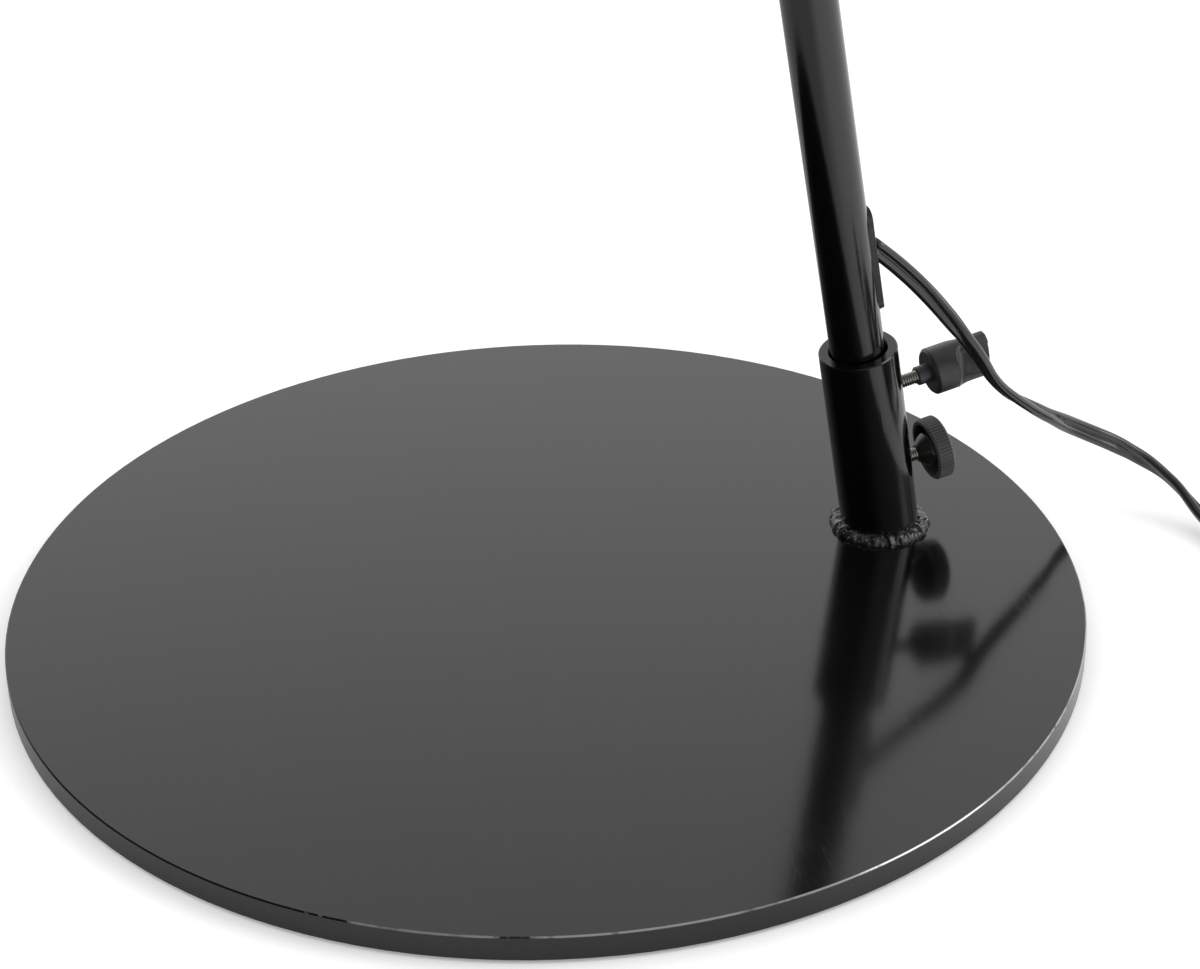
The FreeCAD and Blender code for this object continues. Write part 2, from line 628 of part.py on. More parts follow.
def make_neck(pole_top):
    """The lower ferrule, the links and the upper ferrule; returns the head's frame."""
    base_place = pole_frame * at(z=pole_top)
    inner = "pole_dia / 2 - pole_wall"
    shoulder = "ferrule_stub + ferrule_long - shoulder_back"
    ferrule = turned("lower_ferrule_blank", [
        ("0", "0"), (inner + " - 0.5", "0"), (inner, "0.5"), (inner, "ferrule_stub"),
        ("ferrule_dia / 2 - 0.6", "ferrule_stub"), ("ferrule_dia / 2", "ferrule_stub + 0.6"),
        ("ferrule_dia / 2", "ferrule_stub + ferrule_long * 0.45"),
        ("neck_dia / 2 + 0.6", "ferrule_stub + ferrule_long * 0.7"),
        ("neck_dia / 2 + 0.6", shoulder + " - 0.5"), ("neck_dia / 2", shoulder), ("0", shoulder)],
        base_place * at(z=-size("ferrule_stub")))
    node(cup_and_ball("lower_ferrule", ferrule, size("ferrule_long"), None, base_place),
         "neck_ferrule_lower")

    # one link, made once at the first joint and then set down at each joint in turn
    ribs = int(size("rib_count"))
    low, high = -size("cup_back"), link_long - size("shoulder_back")
    step = (high - low) / ribs
    outer, dip = size("neck_dia") / 2, size("neck_dia") / 2 - size("rib_depth")
    points = [(0, low), (dip, low)]
    for k in range(ribs):
        foot = low + k * step
        points += [(outer, foot + 0.22 * step), (outer, foot + 0.72 * step), (dip, foot + 0.94 * step)]
        if k < ribs - 1:
            points.append((dip, foot + step))
    points += [(dip, high), (0, high)]
    face = Part.Face(Part.makePolygon([Vec(r, 0, z) for r, z in points + [points[0]]]))
    sleeve = shaped("link_sleeve", face.revolve(Vec(), Z_AXIS, 360))
    link = cup_and_ball("link", sleeve, link_long, 0, at())

    joint = base_place * at(z=size("ferrule_long"))
    count = int(size("neck_links"))
    bend = size("neck_bend") / (count + 1)
    joints = [joint.Base]
    for k in range(count):
        joint = joint * at(axis=X_AXIS, angle=bend)
        node(grouped(f"link_{k + 1}", [link], joint), f"neck_link_{k + 1:02d}")
        joint = joint * at(z=link_long)
        joints.append(joint.Base)
    head = joint * at(axis=X_AXIS, angle=bend)
    for k, spot in enumerate(joints):
        print("neck joint", k, [round(v / 1000, 6) for v in spot])
    return head


# ---- lamp head -----------------------------------------------------------------------------------
def make_head(head):
    cup = size("cup_back")
    ferrule = turned("upper_ferrule_blank", [
        ("0", "0"), ("neck_dia / 2", "0"), ("neck_dia / 2 + 0.5", "0.5"),
        ("neck_dia / 2 + 0.5", "head_ferrule * 0.45"), ("ferrule_dia / 2", "head_ferrule * 0.7"),
        ("ferrule_dia / 2", "head_ferrule + cup_back"), ("nipple_dia / 2", "head_ferrule + cup_back"),
        ("nipple_dia / 2", "head_ferrule + cup_back + nipple_long"),
        ("0", "head_ferrule + cup_back + nipple_long")], head * at(z=-cup))
    node(cup_and_ball("upper_ferrule", ferrule, None, 0, head), "neck_ferrule_upper")

    housing_at = head * at(z=size("head_ferrule"))
    housing = turned("housing_cup", [
        ("nipple_dia / 2", "0"), ("housing_dia / 2 - 5", "0"), ("housing_dia / 2 - 1.5", "1.5"),
        ("housing_dia / 2", "5"), ("housing_dia / 2", "housing_long"),
        ("housing_dia / 2 - housing_wall", "housing_long"), ("housing_dia / 2 - housing_wall", "5.5"),
        ("housing_dia / 2 - 3.5", "housing_wall + 1"), ("housing_dia / 2 - 6", "housing_wall"),
        ("nipple_dia / 2", "housing_wall")], housing_at)
    side = housing_at * Place(Vec(0, 0, size("switch_station")), Rot(Y_AXIS, 90))
    shaft_hole = solid("Cylinder", "shaft_hole", side, Radius="shaft_dia / 2 + shaft_clear",
                       Height="housing_dia")
    node(less("housing_drilled", housing, shaft_hole), "switch_housing")

    body_end = size("housing_dia") / 2 - size("housing_wall")
    half = size("switch_size") / 2
    switch = solid("Box", "switch_block", side * at(-half, -half, body_end - size("switch_size")),
                   Length="switch_size", Width="switch_size", Height="switch_size")
    well_floor = body_end - size("switch_size") + size("switch_floor")
    well = solid("Cylinder", "switch_well", side * at(z=well_floor),
                 Radius="shaft_dia / 2 + shaft_clear", Height="switch_size")
    round_wall = solid("Cylinder", "switch_limit", housing_at,
                       Radius="housing_dia / 2 - housing_wall", Height="housing_long")
    node(less("switch_bored", common("switch_fitted", switch, round_wall), well), "switch_body")

    wall_out = size("housing_dia") / 2
    shaft_long = "switch_size - switch_floor + housing_wall + knob_long - knob_skin"
    shaft = turned("shaft_rod", [
        ("0", "0"), ("shaft_dia / 2", "0"), ("shaft_dia / 2", shaft_long), ("0", shaft_long)],
        side * at(z=well_floor + size("knob_gap")))
    node(shaft, "switch_shaft")

    knob_at = side * at(z=wall_out + size("knob_gap"))
    knob_blank = turned("knob_blank", [
        ("0", "0"), ("knob_dia / 2", "0"), ("knob_dia / 2", "knob_base - 1"),
        ("knob_dia / 2 - 1", "knob_base"),
        ("knob_dia / 2 - 1.8", "knob_long - 1"), ("knob_dia / 2 - 2.8", "knob_long"),
        ("0", "knob_long")], knob_at)
    grip = size("knob_grip") / 2
    sides = [solid("Box", f"knob_flat_{k + 1}", knob_at * at(-size("knob_dia"), y, size("knob_base")),
                   Length="2 * knob_dia", Width="knob_dia", Height="knob_long")
             for k, y in enumerate((grip, -grip - size("knob_dia")))]
    knob_hole = solid("Cylinder", "knob_hole", knob_at, Radius="shaft_dia / 2",
                      Height="knob_long - knob_skin")
    node(less("knob_shaped", knob_blank, *sides, knob_hole), "switch_knob")

    # the holder hangs in the housing and runs on through the shade's neck
    holder_top = size("housing_long") - size("holder_inside")
    holder_at = housing_at * at(z=holder_top)
    shell_out = "holder_dia / 2 - holder_wall"
    holder = turned("holder_cup", [
        ("0", "0"), ("holder_dia / 2 - 2", "0"), ("holder_dia / 2", "2"),
        ("holder_dia / 2", "holder_inside - 3"),
        ("housing_dia / 2 - housing_wall", "holder_inside - 3"),
        ("housing_dia / 2 - housing_wall", "holder_inside"),
        ("holder_dia / 2", "holder_inside"), ("holder_dia / 2", "holder_long"),
        (shell_out, "holder_long"), (shell_out, "holder_floor"), ("0", "holder_floor")], holder_at)
    node(holder, "lamp_holder")
    shell = turned("shell_tube", [
        (shell_out + " - shell_wall", "0"), (shell_out, "0"), (shell_out, "shell_long"),
        (shell_out + " - shell_wall", "shell_long")],
        holder_at * at(z=size("holder_long") - size("shell_long") - size("shell_sunk")))
    node(shell, "screw_shell")
    contact = turned("contact_button", [
        ("0", "0"), ("contact_dia / 2", "0"), ("contact_dia / 2", "contact_high * 0.3"),
        ("contact_dia / 4", "contact_high"), ("0", "contact_high")],
        holder_at * at(z=size("holder_floor")))
    node(contact, "centre_contact")

    # spun shade: a short neck that opens in a smooth bell
    thick_s, neck_r = size("shade_thick"), size("shade_neck_dia") / 2
    mouth_r, long, neck_z = size("shade_mouth_dia") / 2, size("shade_long"), size("shade_neck_long")
    hole_r = size("holder_dia") / 2
    span, count = long - neck_z, 14

    def bell(k, inset):
        """The bell's radius and height at one of its stations, set in by the sheet's thickness."""
        share = k / count
        radius = neck_r + (mouth_r - neck_r) * math.sin(share * math.pi / 2) ** 0.9
        return (radius - inset, neck_z + span * share + inset * 0.35 * (1 - share))

    outside = [bell(k, 0) for k in range(count + 1)]
    inside = [bell(k, thick_s) for k in range(count, -1, -1)]
    lip = size("shade_lip")
    points = [(hole_r, 0), (neck_r - 3, 0), (neck_r - 0.9, 0.9), (neck_r, 3)] + outside
    points += [(mouth_r + 0.6, long + lip * 0.4), (mouth_r + 0.6, long + lip),
               (mouth_r - thick_s, long + lip)]
    points += inside + [(neck_r - thick_s, 3.4), (neck_r - 3.4, thick_s), (hole_r, thick_s)]
    face = Part.Face(Part.makePolygon([Vec(r, 0, z) for r, z in points + [points[0]]]))
    shade_at = housing_at * at(z=size("housing_long"))
    node(shaped("shade_bell", face.revolve(Vec(), Z_AXIS, 360), shade_at), "shade")

    ring = turned("ring_nut", [
        ("holder_dia / 2", "0"), ("ring_dia / 2", "0"), ("ring_dia / 2", "ring_thick - 0.6"),
        ("ring_dia / 2 - 0.6", "ring_thick"), ("holder_dia / 2", "ring_thick")],
        shade_at * at(z=thick_s))
    node(ring, "shade_ring")

    # bulb: its base stands on the contact, its globe beyond the holder's mouth
    base_at = holder_at * at(z=size("holder_floor") + size("contact_high"))
    base_top = size("bulb_base_long") + size("cap_cone")
    base = turned("bulb_cap", [
        ("0", "0"), ("cap_tip / 2 - 0.5", "0"), ("cap_tip / 2", "1.2"),
        ("bulb_base_dia / 2 - 2.5", "cap_cone"), ("bulb_base_dia / 2", "cap_cone + 1.5"),
        ("bulb_base_dia / 2", "cap_cone + bulb_base_long"),
        ("bulb_base_dia / 2 - 1", "cap_cone + bulb_base_long"),
        ("bulb_base_dia / 2 - 1", "cap_cone + 3"), ("0", "cap_cone + 3")], base_at)
    node(base, "bulb_base")

    globe_r, wall, neck = size("bulb_dia") / 2, size("bulb_wall"), size("bulb_base_dia") / 2 - 0.6
    length = size("bulb_long")
    centre = length - globe_r
    stations = 12

    def envelope(inset):
        """The glass outline from its neck to its tip."""
        rows = []
        for k in range(6):
            share = k / 6
            eased_share = share * share * (3 - 2 * share)
            rows.append((neck - inset + (globe_r - neck) * eased_share, centre * share))
        for k in range(stations):
            angle = math.pi / 2 * k / stations
            rows.append(((globe_r - inset) * math.cos(angle), centre + (globe_r - inset) * math.sin(angle)))
        return rows

    outer = envelope(0) + [(0, length)]
    inner = [(0, length - wall)] + envelope(wall)[::-1]
    loop = [Vec(r, 0, z) for r, z in outer + inner]
    glass = Part.Face(Part.makePolygon(loop + [loop[0]])).revolve(Vec(), Z_AXIS, 360)
    node(shaped("bulb_glass", glass, base_at * at(z=base_top)), "bulb_globe")
    print("head frame", [round(v / 1000, 6) for v in head.Base],
          "knob", [round(v / 1000, 6) for v in knob_at.Base])


make_base()
make_wing_screw()
make_thumb_screw()
pole_end = make_pole()
head_frame = make_neck(pole_end)
make_head(head_frame)
plug_place, plug_way = make_cords()
make_plug(plug_place, plug_way)
doc.recompute()

# ---- checks and export ---------------------------------------------------------------------------
for thing in doc.Objects:
    if "Invalid" in thing.State or "Error" in thing.State:
        raise RuntimeError(f"{thing.Name} did not build: {thing.State}")
os.makedirs("parts", exist_ok=True)
for label, thing in nodes:
    shape = thing.Shape
    if shape.isNull() or not shape.isValid() or not shape.Solids:
        raise RuntimeError(f"{label} has no valid solid")
    shape.exportStep(f"parts/{label}.step")
    print(label, "solids", len(shape.Solids), "volume", round(shape.Volume, 1))
print("pole foot", [round(v / 1000, 6) for v in pole_foot], "up", [round(v, 6) for v in pole_up])
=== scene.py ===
import json
import math
import random

import bpy
from mathutils import Matrix, Vector, noise

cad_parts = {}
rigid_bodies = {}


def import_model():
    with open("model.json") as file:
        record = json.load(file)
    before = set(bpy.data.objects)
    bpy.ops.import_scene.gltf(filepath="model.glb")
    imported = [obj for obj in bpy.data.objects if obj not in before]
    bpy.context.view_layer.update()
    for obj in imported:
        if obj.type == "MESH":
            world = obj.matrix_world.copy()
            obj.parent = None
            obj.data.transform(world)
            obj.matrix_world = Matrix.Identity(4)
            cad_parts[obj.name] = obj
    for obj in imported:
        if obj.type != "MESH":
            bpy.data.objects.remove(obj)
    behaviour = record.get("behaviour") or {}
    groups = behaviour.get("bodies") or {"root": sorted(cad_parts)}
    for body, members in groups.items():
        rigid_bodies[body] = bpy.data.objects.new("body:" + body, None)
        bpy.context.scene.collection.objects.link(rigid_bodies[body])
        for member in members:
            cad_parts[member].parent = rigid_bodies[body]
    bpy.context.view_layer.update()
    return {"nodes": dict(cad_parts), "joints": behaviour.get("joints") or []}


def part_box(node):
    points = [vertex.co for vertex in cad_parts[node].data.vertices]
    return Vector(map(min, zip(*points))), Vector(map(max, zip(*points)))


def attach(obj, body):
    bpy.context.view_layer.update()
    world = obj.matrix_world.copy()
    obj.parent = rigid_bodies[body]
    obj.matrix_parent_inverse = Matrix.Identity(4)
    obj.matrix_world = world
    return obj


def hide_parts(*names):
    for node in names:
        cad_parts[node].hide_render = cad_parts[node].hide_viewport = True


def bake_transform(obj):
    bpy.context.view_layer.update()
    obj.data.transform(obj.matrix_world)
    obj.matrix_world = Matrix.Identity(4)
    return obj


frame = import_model()
nodes = frame["nodes"]
up, across = Vector((0, 0, 1)), Vector((1, 0, 0))


def shown(name, data):
    piece = bpy.data.objects.new(name, data)
    bpy.context.scene.collection.objects.link(piece)
    return piece


def meshPiece(name, points, faces, smooth=True):
    mesh = bpy.data.meshes.new(name)
    mesh.from_pydata([tuple(p) for p in points], [], faces)
    mesh.validate()
    mesh.polygons.foreach_set("use_smooth", [smooth] * len(mesh.polygons))
    mesh.update()
    return shown(name, mesh)


def gridFaces(rows, columns, closedRows=False, closedColumns=True):
    faces = []
    for i in range(rows if closedRows else rows - 1):
        for j in range(columns if closedColumns else columns - 1):
            a, b = i * columns + j, i * columns + (j + 1) % columns
            c, d = (i + 1) % rows * columns + (j + 1) % columns, (i + 1) % rows * columns + j
            faces.append((a, b, c, d))
    return faces


def latheFaces(rows, columns, firstClosed=False, lastClosed=False):
    faces = gridFaces(rows, columns)
    if firstClosed:
        faces.append(tuple(range(columns))[::-1])
    if lastClosed:
        faces.append(tuple((rows - 1) * columns + j for j in range(columns)))
    return faces


def softStep(x):
    x = min(max(x, 0), 1)
    return x * x * (3 - 2 * x)


photoCamera = {"place": (0.7590, -0.2656, 0.5269), "azimuth": 69.47, "down": 30.74, "roll": -1.33,
               "lens": 93.0, "sensor": 36.0}


def makeCamera():
    data = bpy.data.cameras.new("photoCamera")
    data.sensor_fit = "HORIZONTAL"
    data.sensor_width = photoCamera["sensor"]
    data.lens = photoCamera["lens"]
    data.clip_start = 0.02
    eye = shown("photoCamera", data)
    turn = (Matrix.Rotation(math.radians(photoCamera["azimuth"]), 4, "Z")
            @ Matrix.Rotation(math.radians(90 - photoCamera["down"]), 4, "X")
            @ Matrix.Rotation(math.radians(photoCamera["roll"]), 4, "Z"))
    eye.matrix_world = Matrix.Translation(photoCamera["place"]) @ turn
    bpy.context.scene.camera = eye
    print("camera set")


makeCamera()


def wire(tree, source, target):
    tree.links.new(source, target)


def addNode(tree, kind, **values):
    node = tree.nodes.new(kind)
    for name, value in values.items():
        setattr(node, name, value)
    return node


def mathNode(tree, operation, first, second=None, clamp=False):
    node = addNode(tree, "ShaderNodeMath", operation=operation, use_clamp=clamp)
    for socket, value in zip(node.inputs, (first, second)):
        if value is None:
            continue
        if isinstance(value, (int, float)):
            socket.default_value = value
        else:
            wire(tree, value, socket)
    return node.outputs[0]


def effectGroup(name, inputs, outputs):
    group = bpy.data.node_groups.new(name, "ShaderNodeTree")
    for label, value in inputs.items():
        kind = "NodeSocketColor" if isinstance(value, tuple) else "NodeSocketFloat"
        socket = group.interface.new_socket(label, in_out="INPUT", socket_type=kind)
        socket.default_value = value
    for label, kind in outputs.items():
        group.interface.new_socket(label, in_out="OUTPUT", socket_type=kind)
    return group, group.nodes.new("NodeGroupInput"), group.nodes.new("NodeGroupOutput")


def stretchedPlace(group, inlet, stretchLabel):
    coords = addNode(group, "ShaderNodeTexCoord")
    squeeze = addNode(group, "ShaderNodeCombineXYZ")
    squeeze.inputs[0].default_value = 1
    squeeze.inputs[1].default_value = 1
    wire(group, inlet.outputs[stretchLabel], squeeze.inputs[2])
    place = addNode(group, "ShaderNodeVectorMath", operation="MULTIPLY")
    wire(group, coords.outputs["Object"], place.inputs[0])
    wire(group, squeeze.outputs[0], place.inputs[1])
    return place.outputs[0]


def noiseAt(tree, place, scale, detail=3.0, rough=0.5):
    texture = addNode(tree, "ShaderNodeTexNoise")
    wire(tree, place, texture.inputs["Vector"])
    if isinstance(scale, (int, float)):
        texture.inputs["Scale"].default_value = scale
    else:
        wire(tree, scale, texture.inputs["Scale"])
    texture.inputs["Detail"].default_value = detail
    texture.inputs["Roughness"].default_value = rough
    return texture.outputs["Fac"]


def makeSkinGroup():
    # fine orange peel and a slow change of gloss over a moulded or painted surface
    group, inlet, outlet = effectGroup(
        "skinTexture",
        {"Grain Scale": 2500.0, "Grain": 0.3, "Wave Scale": 180.0, "Wave": 0.3, "Stretch": 1.0,
         "Gloss Low": 0.2, "Gloss High": 0.3},
        {"Height": "NodeSocketFloat", "Roughness": "NodeSocketFloat", "Patches": "NodeSocketFloat"})
    place = stretchedPlace(group, inlet, "Stretch")
    grain = noiseAt(group, place, inlet.outputs["Grain Scale"], 2.0)
    wave = noiseAt(group, place, inlet.outputs["Wave Scale"], 2.0)
    patches = noiseAt(group, place, 35.0, 4.0, 0.6)
    height = mathNode(group, "ADD", mathNode(group, "MULTIPLY", grain, inlet.outputs["Grain"]),
                      mathNode(group, "MULTIPLY", wave, inlet.outputs["Wave"]))
    span = mathNode(group, "SUBTRACT", inlet.outputs["Gloss High"], inlet.outputs["Gloss Low"])
    gloss = mathNode(group, "ADD", inlet.outputs["Gloss Low"],
                     mathNode(group, "MULTIPLY", patches, span))
    wire(group, height, outlet.inputs["Height"])
    wire(group, gloss, outlet.inputs["Roughness"])
    wire(group, patches, outlet.inputs["Patches"])
    return group


def makeScuffGroup():
    # long thin scratches and small specks, as a mask
    group, inlet, outlet = effectGroup(
        "scuffs", {"Scratch Scale": 60.0, "Speck Scale": 900.0, "Speck Cut": 0.74},
        {"Scratches": "NodeSocketFloat", "Specks": "NodeSocketFloat"})
    coords = addNode(group, "ShaderNodeTexCoord")
    turned = addNode(group, "ShaderNodeMapping")
    turned.inputs["Rotation"].default_value = (0, 0, math.radians(28))
    turned.inputs["Scale"].default_value = (1, 14, 1)
    wire(group, coords.outputs["Object"], turned.inputs["Vector"])
    lines = noiseAt(group, turned.outputs[0], inlet.outputs["Scratch Scale"], 5.0, 0.55)
    thin = mathNode(group, "SUBTRACT", 1.0, mathNode(
        group, "MULTIPLY", mathNode(group, "ABSOLUTE", mathNode(group, "SUBTRACT", lines, 0.5)), 60.0),
        clamp=True)
    sparse = noiseAt(group, coords.outputs["Object"], 22.0, 2.0)
    where = mathNode(group, "MULTIPLY", mathNode(group, "SUBTRACT", sparse, 0.52), 9.0, clamp=True)
    specks = noiseAt(group, coords.outputs["Object"], inlet.outputs["Speck Scale"], 1.0)
    dots = mathNode(group, "MULTIPLY", mathNode(group, "SUBTRACT", specks, inlet.outputs["Speck Cut"]),
                    14.0, clamp=True)
    wire(group, mathNode(group, "MULTIPLY", thin, where), outlet.inputs["Scratches"])
    wire(group, dots, outlet.inputs["Specks"])
    return group


skinGroup, scuffGroup = makeSkinGroup(), makeScuffGroup()


def newMaterial(name, colour, rough=0.4, metal=0.0, **sockets):
    material = bpy.data.materials.new(name)
    material.use_nodes = True
    tree = material.node_tree
    shader = tree.nodes["Principled BSDF"]
    shader.inputs["Base Color"].default_value = (*colour, 1)
    shader.inputs["Roughness"].default_value = rough
    shader.inputs["Metallic"].default_value = metal
    for label, value in sockets.items():
        shader.inputs[label.replace("_", " ")].default_value = value
    return material, tree, shader


def placeGroup(tree, group, **values):
    node = addNode(tree, "ShaderNodeGroup", node_tree=group)
    for label, value in values.items():
        node.inputs[label.replace("_", " ")].default_value = value
    return node


def addBump(tree, shader, height, strength, distance):
    bump = addNode(tree, "ShaderNodeBump")
    bump.inputs["Strength"].default_value = strength
    bump.inputs["Distance"].default_value = distance
    wire(tree, height, bump.inputs["Height"])
    wire(tree, bump.outputs[0], shader.inputs["Normal"])


def mixColour(tree, mask, first, second):
    mix = addNode(tree, "ShaderNodeMix", data_type="RGBA")
    wire(tree, mask, mix.inputs[0])
    for socket, value in ((mix.inputs[6], first), (mix.inputs[7], second)):
        if isinstance(value, tuple):
            socket.default_value = (*value, 1)
        else:
            wire(tree, value, socket)
    return mix.outputs[2]


def skinned(name, colour, other, gloss, grain, wave, bump, metal=0.0, stretch=1.0, **sockets):
    # the common finish: two near colours in patches, a gloss range and a bumped skin
    material, tree, shader = newMaterial(name, colour, gloss[0], metal, **sockets)
    skin = placeGroup(tree, skinGroup, Grain_Scale=grain[0], Grain=grain[1], Wave_Scale=wave[0],
                      Wave=wave[1], Stretch=stretch, Gloss_Low=gloss[0], Gloss_High=gloss[1])
    wire(tree, mixColour(tree, skin.outputs["Patches"], colour, other), shader.inputs["Base Color"])
    wire(tree, skin.outputs["Roughness"], shader.inputs["Roughness"])
    addBump(tree, shader, skin.outputs["Height"], bump[0], bump[1])
    return material


# the worn colour is bare metal on the rim, which also paints the front edge's highlight
plateFinish = {"paint": (0.0026, 0.0025, 0.0024), "wornEdgeAndGlint": (0.55, 0.53, 0.50), "gloss": (0.09, 0.15),
               "radius": 0.165, "top": 0.009}


def makePlateFinish():
    material, tree, shader = newMaterial("platePaint", plateFinish["paint"], 0.22, IOR=1.7)
    skin = placeGroup(tree, skinGroup, Grain_Scale=1700, Grain=0.3, Wave_Scale=260, Wave=0.4,
                      Gloss_Low=plateFinish["gloss"][0], Gloss_High=plateFinish["gloss"][1])
    scuffs = placeGroup(tree, scuffGroup, Scratch_Scale=26, Speck_Scale=620, Speck_Cut=0.77)
    coords = addNode(tree, "ShaderNodeTexCoord")
    apart = addNode(tree, "ShaderNodeSeparateXYZ")
    wire(tree, coords.outputs["Object"], apart.inputs[0])
    x, y, z = apart.outputs
    reach = mathNode(tree, "SQRT", mathNode(tree, "ADD", mathNode(tree, "MULTIPLY", x, x),
                                            mathNode(tree, "MULTIPLY", y, y)))
    # the rim is bare in places where the paint is thin on the top edge, and the front bias puts this
    # bright bare metal on the front edge as a painted highlight
    rim = mathNode(tree, "MULTIPLY", mathNode(tree, "SUBTRACT", reach, plateFinish["radius"] - 0.00055),
                   3500.0, clamp=True)
    high = mathNode(tree, "MULTIPLY", mathNode(tree, "SUBTRACT", z, plateFinish["top"] - 0.0005), 3000.0,
                    clamp=True)
    patch = noiseAt(tree, coords.outputs["Object"], 42.0, 6.0, 0.7)
    front = mathNode(tree, "ADD", mathNode(tree, "MULTIPLY", x, 2.4), mathNode(tree, "MULTIPLY", y, 1.0))
    bareAndGlint = mathNode(tree, "MULTIPLY", mathNode(
        tree, "SUBTRACT", mathNode(tree, "ADD", patch, front), 0.72), 8.0, clamp=True)
    wornEdgeAndGlint = mathNode(tree, "MULTIPLY", mathNode(tree, "MULTIPLY", rim, high), bareAndGlint)
    lightened = mixColour(tree, mathNode(tree, "MULTIPLY", scuffs.outputs["Scratches"], 0.35),
                          plateFinish["paint"], (0.018, 0.0175, 0.017))
    wire(tree, mixColour(tree, wornEdgeAndGlint, lightened, plateFinish["wornEdgeAndGlint"]), shader.inputs["Base Color"])
    wire(tree, mathNode(tree, "MULTIPLY", wornEdgeAndGlint, 0.8), shader.inputs["Metallic"])
    wire(tree, mathNode(tree, "ADD", skin.outputs["Roughness"],
                        mathNode(tree, "MULTIPLY", scuffs.outputs["Scratches"], 0.06)),
         shader.inputs["Roughness"])
    pitted = mathNode(tree, "SUBTRACT", skin.outputs["Height"],
                      mathNode(tree, "MULTIPLY", scuffs.outputs["Specks"], 0.7))
    addBump(tree, shader, pitted, 0.25, 0.00006)
    return material


weldFinish = {"paint": (0.003, 0.003, 0.0034), "silver": (0.62, 0.62, 0.64), "film": 0.1}


def makeWeldFinish():
    # gloss black with bright bare specks, which are also painted glints, and a thin, patchy silvery film
    material, tree, shader = newMaterial("weldPaint", weldFinish["paint"], 0.1, IOR=1.65)
    skin = placeGroup(tree, skinGroup, Grain_Scale=1300, Grain=0.45, Wave_Scale=520, Wave=0.9,
                      Gloss_Low=0.06, Gloss_High=0.16)
    scuffs = placeGroup(tree, scuffGroup, Scratch_Scale=60, Speck_Scale=1100, Speck_Cut=0.7)
    coords = addNode(tree, "ShaderNodeTexCoord")
    film = noiseAt(tree, coords.outputs["Object"], 260.0, 5.0, 0.65)
    patches = mathNode(tree, "MULTIPLY", mathNode(tree, "SUBTRACT", film, 0.46), 2.2, clamp=True)
    smear = mathNode(tree, "MULTIPLY", patches, weldFinish["film"])
    # the specks paint small glints in bright silver; the film is a silvery smear on the bead
    bareAndGlint = mathNode(tree, "MAXIMUM", smear, scuffs.outputs["Specks"], clamp=True)
    wire(tree, mixColour(tree, bareAndGlint, weldFinish["paint"], weldFinish["silver"]),
         shader.inputs["Base Color"])
    wire(tree, mathNode(tree, "MULTIPLY", bareAndGlint, 0.9), shader.inputs["Metallic"])
    wire(tree, skin.outputs["Roughness"], shader.inputs["Roughness"])
    addBump(tree, shader, skin.outputs["Height"], 0.6, 0.0004)
    return material


thread = {"way": (0, 0.98953, 0.14436), "root": 0.00163, "crest": 0.00186,
          "metal": (0.74, 0.73, 0.68), "dull": (0.56, 0.55, 0.51), "rootShade": (0.05, 0.048, 0.044)}


def makeThreadZinc(name, spot):
    # bright crests with painted shade in the roots, by the distance from the screw's own line
    material, tree, shader = newMaterial(name, thread["metal"], 0.25, 1.0)
    coords = addNode(tree, "ShaderNodeTexCoord")
    apart = addNode(tree, "ShaderNodeVectorMath", operation="SUBTRACT")
    wire(tree, coords.outputs["Object"], apart.inputs[0])
    apart.inputs[1].default_value = spot
    turned = addNode(tree, "ShaderNodeVectorMath", operation="CROSS_PRODUCT")
    wire(tree, apart.outputs[0], turned.inputs[0])
    turned.inputs[1].default_value = thread["way"]
    reach = addNode(tree, "ShaderNodeVectorMath", operation="LENGTH")
    wire(tree, turned.outputs[0], reach.inputs[0])
    depth = mathNode(tree, "SUBTRACT", reach.outputs["Value"], thread["root"])
    share = mathNode(tree, "MULTIPLY", depth, 1 / (thread["crest"] - thread["root"]), clamp=True)
    skin = placeGroup(tree, skinGroup, Grain_Scale=1500, Grain=0.4, Wave_Scale=300, Wave=0.3,
                      Gloss_Low=0.18, Gloss_High=0.32)
    crestZinc = mixColour(tree, skin.outputs["Patches"], thread["metal"], thread["dull"])
    # painted shade in the thread roots, bright zinc on the crests
    wire(tree, mixColour(tree, share, thread["rootShade"], crestZinc), shader.inputs["Base Color"])
    wire(tree, skin.outputs["Roughness"], shader.inputs["Roughness"])
    addBump(tree, shader, skin.outputs["Height"], 0.2, 0.00004)
    return material


def makeGlass():
    material, tree, shader = newMaterial("bulbGlass", (0.93, 0.93, 0.91), 0.42, IOR=1.45,
                                         Transmission_Weight=0.35)
    skin = placeGroup(tree, skinGroup, Grain_Scale=1800, Grain=0.2, Wave_Scale=60, Wave=0.3,
                      Gloss_Low=0.36, Gloss_High=0.5)
    wire(tree, mixColour(tree, skin.outputs["Patches"], (0.95, 0.95, 0.93), (0.9, 0.9, 0.88)),
         shader.inputs["Base Color"])
    wire(tree, skin.outputs["Roughness"], shader.inputs["Roughness"])
    addBump(tree, shader, skin.outputs["Height"], 0.1, 0.00005)
    return material


